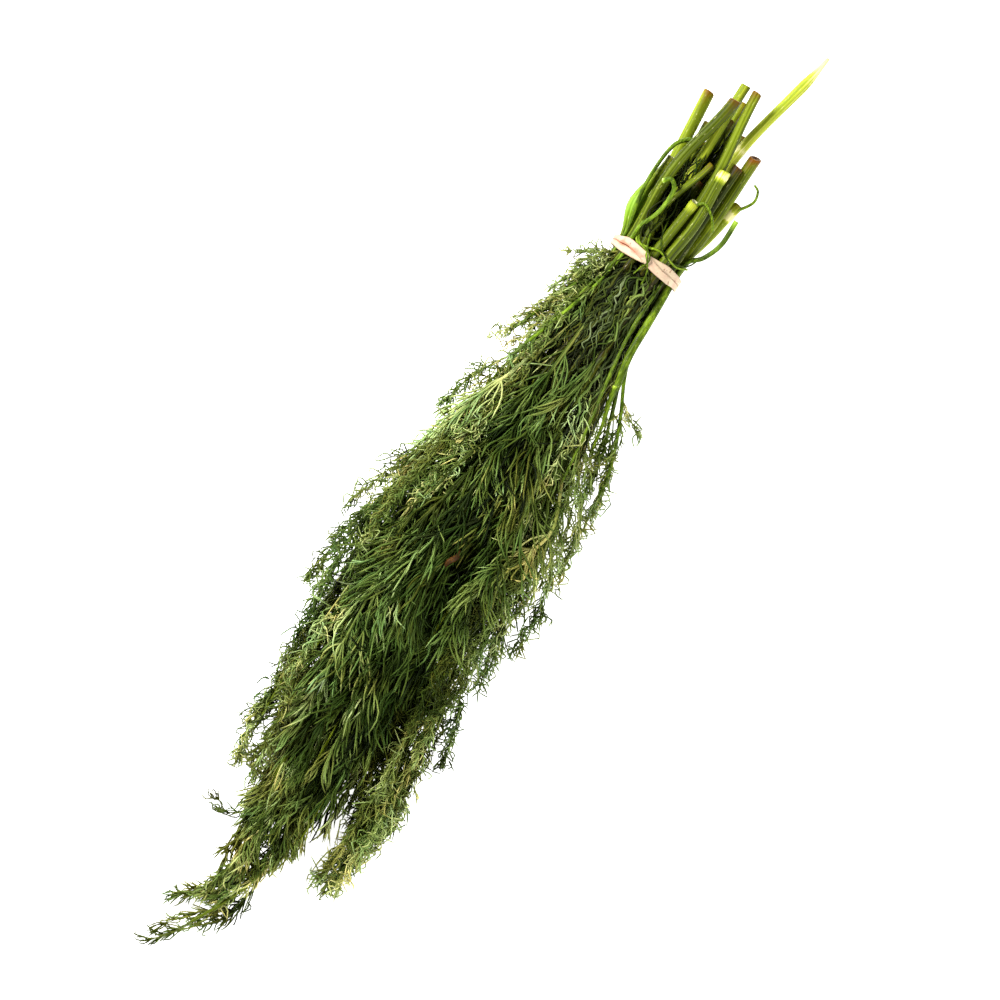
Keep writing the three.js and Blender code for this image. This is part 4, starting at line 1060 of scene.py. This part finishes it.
STEM_SEED = 1000  # of the first stem, and one more for each after it
dill_materials = [stem_skin(), cut_pith(), leaf_green()]
for index, stem in enumerate(STEMS):
    number = f"{index + 1:02d}"
    rng = np.random.default_rng(STEM_SEED + index)
    parts = [bare_stem(index, stem, rng), *stem_fronds(stem, rng), *wisps(index, stem, rng)]
    parts += [*side_stalks(index), strands(stem, rng, *STRANDS)]
    if stem["layer"] in ("top", "upper"):
        parts += [strands(stem, rng, *BAND_STRANDS), strands(stem, rng, *GROUND_STRANDS)]
    if stem["tip"][1] < COLLARED:
        parts += collar(stem, rng)
    if index in TANGLES:
        parts.append(tangle(stem, rng, *TANGLES[index]))
    parts += curls(index)
    if index == SCRAP_STEM:
        parts.append(scrap())
    # Painted light and shade on the leaves of the bunch's crests and hollows.
    parts = [with_painted_shade_and_light(each) for each in parts]
    add_piece(f"leafy_stem_{number}", parts, dill_materials, f"dill_stem_{number}")

# ------------------------------------------------------------------ loose leaves
# Three leaves came away from their stems and were tied in with them. Each is a bare round stalk, pale at
# its torn end, that bends through the band and carries its own blade on the leaf side.

STALKS = [
    dict(
        name="arched", radius=0.9, leafy=4, ripe=0.35, tone=0.66, kind=FRINGE,
        way=[
            (-46.5, -9, 18.6), (-45, -11.6, 18.8), (-40.5, -14.6, 19.2), (-31, -15.6, 19.4), (-20, -15, 19),
            (-8, -12.2, 17.4), (3, -12, 16.9), (16, -15.6, 17.4), (30, -21, 18.4), (46, -27, 19.4),
        ],
    ),
    dict(
        name="hooked", radius=0.9, leafy=10, ripe=0.42, tone=0.6, kind=LACY,
        way=[
            (-27.5, -10.8, 25.2), (-29.5, -8.4, 26.4), (-26.5, -5.6, 26.6), (-18, -5.8, 25.6),
            (-10, -8.6, 24), (-5, -9, 22.1), (3, -8.6, 21.6), (16, -10.4, 23.4), (34, -15.6, 27.4),
            (54, -22, 31),
        ],
    ),
    dict(
        name="curved", radius=1.0, leafy=42, ripe=0.3, tone=0.7, kind=FRINGE,
        way=[
            (-30, 19.4, 19.5), (-20, 19.4, 19), (-12.5, 16.6, 18), (-7.5, 12.5, 16.8), (3, 12.1, 16.6),
            (20, 12.2, 17.4), (36, 15, 18.4), (52, 22.8, 18.6), (68, 29.4, 16.4), (86, 33, 13),
        ],
    ),
]
STALK_SEED = 2000  # of the first loose leaf, and one more for each after it
STALK_STATIONS, STALK_THINNING = 120, 0.6
STALK_LOOK = dict(hue=0.85, pale=0.5, pale_to=0.05)

for number, stalk in enumerate(STALKS):
    rng = np.random.default_rng(STALK_SEED + number)
    way = smooth_way(stalk["way"], STALK_STATIONS)
    first, last = stalk["radius"], STALK_THINNING * stalk["radius"]
    bare = round_stalk(way, first, last, STALK_SIDES, stalk["ripe"], **STALK_LOOK)
    leafy = way[-way[:, 0] > (stalk["leafy"] - 4) * MM]
    stations = np.linspace(0, len(leafy) - 1, WAY_STATIONS).astype(int)
    tone = np.array([stalk["tone"]])
    first = np.array([BARE_SHARE])
    blade = blades(leafy[None, stations], first, tone, rng, **stalk["kind"], tint=FRINGE_HUE)
    piece, cad_node = f"loose_leaf_{stalk['name']}", f"leaf_stalk_{stalk['name']}"
    add_piece(piece, [bare, *blade], dill_materials, cad_node)

# ------------------------------------------------------------------ rubber band
# A flat natural-rubber band, cut from a moulded tube, wound twice round the stems. Its turns lie side by
# side and cross once on top, where one climbs over the other.

BAND_HALF_ACROSS, BAND_HALF_UP = 13.75 * MM, 12.75 * MM  # inside
BAND_WIDTH, BAND_THICKNESS = 2.8 * MM, 1.0 * MM
BAND_PITCH = 2.86 * MM  # from the middle of one turn to the middle of the next
BAND_PRESSED = 0.3 * MM
BAND_DRAWN = 0.7, 0.8  # how narrow it is drawn at its sides, as shares of its width
# How far the band leans to the leaves at each height, and how it slants on top.
BAND_LEAN, BAND_TURN = ([0, 12.75 * MM, 25.5 * MM], [0, 1.5 * MM, 1.0 * MM]), 0.06
BAND_CROSSING, BAND_LIFT = 0.62, 1.4 * MM  # half of the crossing in radians, and the climb
BAND_STEPS = 420
BAND_WAVER = 0.1 * MM, 0.06 * MM  # how far it strays sideways, in its slow waves and its quick ones
BAND_BULGE, BULGE_ANGLE = 0.25, 0.3  # how much wider it is at the crossing, and within how many radians
# The section's outline: across, as a share of half its width, and out, as a share of its thickness.
BAND_SECTION = [
    (-1, 0.18), (-0.94, 0), (-0.5, 0), (0, 0.0), (0.5, 0), (0.94, 0), (1, 0.18), (1, 0.8),
    (0.93, 0.96), (0.6, 1.0), (0.3, 0.985), (0, 1.0), (-0.3, 0.985), (-0.6, 1.0), (-0.93, 0.96), (-1, 0.8),
]


def band_mesh():
    """The section runs twice round an ellipse: z = half up times cosine and y = half across times sine of
    the turn. It changes over by an eased step on top, and the outer turn climbs there by an eased hump."""
    turn = 4 * np.pi * np.arange(BAND_STEPS) / BAND_STEPS
    lap = np.round(turn / (2 * np.pi))
    past = turn - 2 * np.pi * lap
    outer = lap != 1
    over = ease(0.5 + past / (2 * BAND_CROSSING))
    drawn = np.where(np.sin(turn) > 0, *BAND_DRAWN)
    narrow = mix(1, drawn, ease((np.abs(np.sin(turn)) - 0.6) / 0.4))
    middle = BAND_PITCH * (0.5 + narrow * (np.where(outer, over, 1 - over) - 0.5))
    raised = np.where(outer, BAND_LIFT * ease((1.7 - np.abs(past) / BAND_CROSSING) / 0.7), 0)
    wave = BAND_WAVER[0] * np.sin(5 * turn) + BAND_WAVER[1] * np.sin(11 * turn + 1)
    section = np.array(BAND_SECTION)
    out = raised[:, None] + section[:, 1] * BAND_THICKNESS
    width = BAND_WIDTH * narrow * (1 + BAND_BULGE * np.exp(-((past / BULGE_ANGLE) ** 2)))
    x = (middle + wave)[:, None] + section[:, 0] * width[:, None] / 2
    y = (BAND_HALF_ACROSS + out) * np.sin(turn)[:, None]
    z = (BAND_HALF_UP + out) * np.cos(turn)[:, None] + BAND_HALF_UP + BAND_THICKNESS - BAND_PRESSED
    z = np.maximum(z, np.where(section[:, 1] > 0.5, 0, 0.6 * MM))
    across = x / BAND_PITCH - 0.5
    x = x - np.interp(z, *BAND_LEAN) + BAND_TURN * y * ease(z / BAND_HALF_UP)
    points = np.stack([x, y, z], -1).reshape(-1, 3)
    # Where the turns meet on top of the +Y side: a pinker tint and painted shade between them.
    between_turns_tint_and_shade = np.clip(1 - np.abs(across) / 0.55, 0, 1) * ease((y / BAND_HALF_ACROSS - 0.05) / 0.15)
    between_turns_tint_and_shade = between_turns_tint_and_shade * (z > BAND_HALF_UP)
    corners = len(section)
    i, j = np.meshgrid(np.arange(BAND_STEPS), np.arange(corners), indexing="ij")
    a, b = i * corners + j, i * corners + (j + 1) % corners
    c, d = (i + 1) % BAND_STEPS * corners + (j + 1) % corners, (i + 1) % BAND_STEPS * corners + j
    faces = np.stack([a, c, b, a, d, c], -1).reshape(-1, 3)
    half_turn = np.repeat(turn / 2, corners)
    grain = np.stack([np.cos(half_turn), np.sin(half_turn), np.tile(section[:, 0], BAND_STEPS)], -1)
    # Painted shade along the band's edges, strongest on its inner face against the stems.
    painted_edge_shade = np.clip((np.abs(section[:, 0]) - 0.9) / 0.1, 0, 1) * (1 - 0.5 * section[:, 1]) * (1 - 0.7 * between_turns_tint_and_shade)
    return part(points, faces, between_turns_tint_and_shade.ravel(), 0.0, 0, grain, painted_edge_shade.ravel())


def band_rubber():
    """Pinkish cream rubber, pinker and darker where its turns meet on top of one side, partly as painted
    shade, and darkened red-brown along its edges as painted shade, with small brown spots and fine cross
    wrinkles."""
    made, tree = new_material("band_rubber")
    place = node(tree, "ShaderNodeTexCoord").outputs["Object"]
    grain = attribute(tree, "grain", "Vector")
    cloud = noise(tree, place, 160.0, 3)
    wrinkle = noise(tree, scaled(tree, grain, (60, 60, 1.2)), 1.0, 2)
    spot = noise(tree, place, 520.0, 1)
    between_turns_tint_and_shade = maths(tree, "MULTIPLY", attribute(tree, "tone"), 0.8)
    share = added(tree, maths(tree, "MULTIPLY_ADD", cloud, 2.4, -0.9), between_turns_tint_and_shade)
    rubbers = [(0.0, (0.56, 0.46, 0.28)), (0.5, (0.52, 0.36, 0.24)), (1.0, (0.46, 0.17, 0.09))]
    # Painted shade along the edges.
    painted_edge_shade = maths(tree, "SMOOTH_MAX", attribute(tree, "hue"), 0.0, 0.5)
    colour = blend(tree, painted_edge_shade, ramp(tree, share, rubbers), (0.2, 0.07, 0.03, 1))
    spotted = maths(tree, "GREATER_THAN", spot, 0.7)
    colour = blend(tree, maths(tree, "MULTIPLY", spotted, 0.8), colour, (0.2, 0.06, 0.02, 1))
    roughness = maths(tree, "MULTIPLY_ADD", cloud, 0.25, 0.42)
    finish_material(tree, colour, roughness, wrinkle, 0.0002)
    return made


add_piece("wound_band", [band_mesh()], [band_rubber()], "rubber_band")

# ------------------------------------------------------------------ floor, light and camera
# A plain white floor that glows a little, as a lit table does, a soft lamp high on the left, and a camera
# that looks straight down with the bunch turned across its view.

FLOOR_SIZE = 30.0
VIEW_MIDDLE = (-100.5 * MM, -2.6 * MM)
VIEW_TURN = -57.0  # degrees, of the camera about its own line of sight
VIEW_WIDTH = 360 * MM  # what the picture's width covers at the bunch's middle height
VIEW_LENS, VIEW_SENSOR = 200.0, 36.0
VIEW_NEAR, VIEW_FAR = 0.01, 100.0
MIDDLE_HEIGHT = 20 * MM
FLOOR_GLOW, AIR_GLOW = 0.95, 0.2
# The lamps: name, width in metres, strength in watts, and place. They point at the middle of the view.
LAMPS = [
    ("key_lamp", 0.5, 40.0, (0.15, 0.95, 0.85)),
    ("fill_lamp", 0.9, 20.0, (-0.35, -0.95, 0.75)),
]

corner = FLOOR_SIZE / 2
corners = [(-corner, -corner, 0), (corner, -corner, 0), (corner, corner, 0), (-corner, corner, 0)]
floor_mesh = bpy.data.meshes.new("floor")
floor_mesh.from_pydata(corners, [], [(0, 1, 2, 3)])
floor = bpy.data.objects.new("floor", floor_mesh)
bpy.context.scene.collection.objects.link(floor)
paper, paper_tree = new_material("floor_paper")
white = node(
    paper_tree,
    "ShaderNodeBsdfPrincipled",
    {
        "Base Color": (0.9, 0.9, 0.9, 1), "Roughness": 0.9, "Specular IOR Level": 0.1,
        "Emission Color": (1, 1, 1, 1), "Emission Strength": FLOOR_GLOW,
    },
)
node(paper_tree, "ShaderNodeOutputMaterial", {0: white.outputs[0]})
floor_mesh.materials.append(paper)

world = bpy.data.worlds.new("studio")
bpy.context.scene.world = world
world.use_nodes = True
world.node_tree.nodes["Background"].inputs["Color"].default_value = (1, 1, 1, 1)
world.node_tree.nodes["Background"].inputs["Strength"].default_value = AIR_GLOW

for name, width, strength, place in LAMPS:
    lamp = bpy.data.lights.new(name, "AREA")
    lamp.size = width
    lamp.energy = strength
    holder = bpy.data.objects.new(name, lamp)
    holder.location = place
    aim = np.array([*VIEW_MIDDLE, 0.0]) - np.array(place)
    tilt, heading = np.arctan2(np.hypot(aim[0], aim[1]), -aim[2]), np.arctan2(aim[1], aim[0])
    holder.rotation_euler = (tilt, 0, heading - np.pi / 2)
    bpy.context.scene.collection.objects.link(holder)

lens = bpy.data.cameras.new("camera")
lens.lens, lens.sensor_width = VIEW_LENS, VIEW_SENSOR
lens.clip_start, lens.clip_end = VIEW_NEAR, VIEW_FAR
camera = bpy.data.objects.new("camera", lens)
camera.location = (*VIEW_MIDDLE, MIDDLE_HEIGHT + VIEW_WIDTH * VIEW_LENS / VIEW_SENSOR)
camera.rotation_euler = (0, 0, np.radians(VIEW_TURN))
bpy.context.scene.collection.objects.link(camera)
bpy.context.scene.camera = camera
bpy.context.scene.view_settings.view_transform = "Standard"
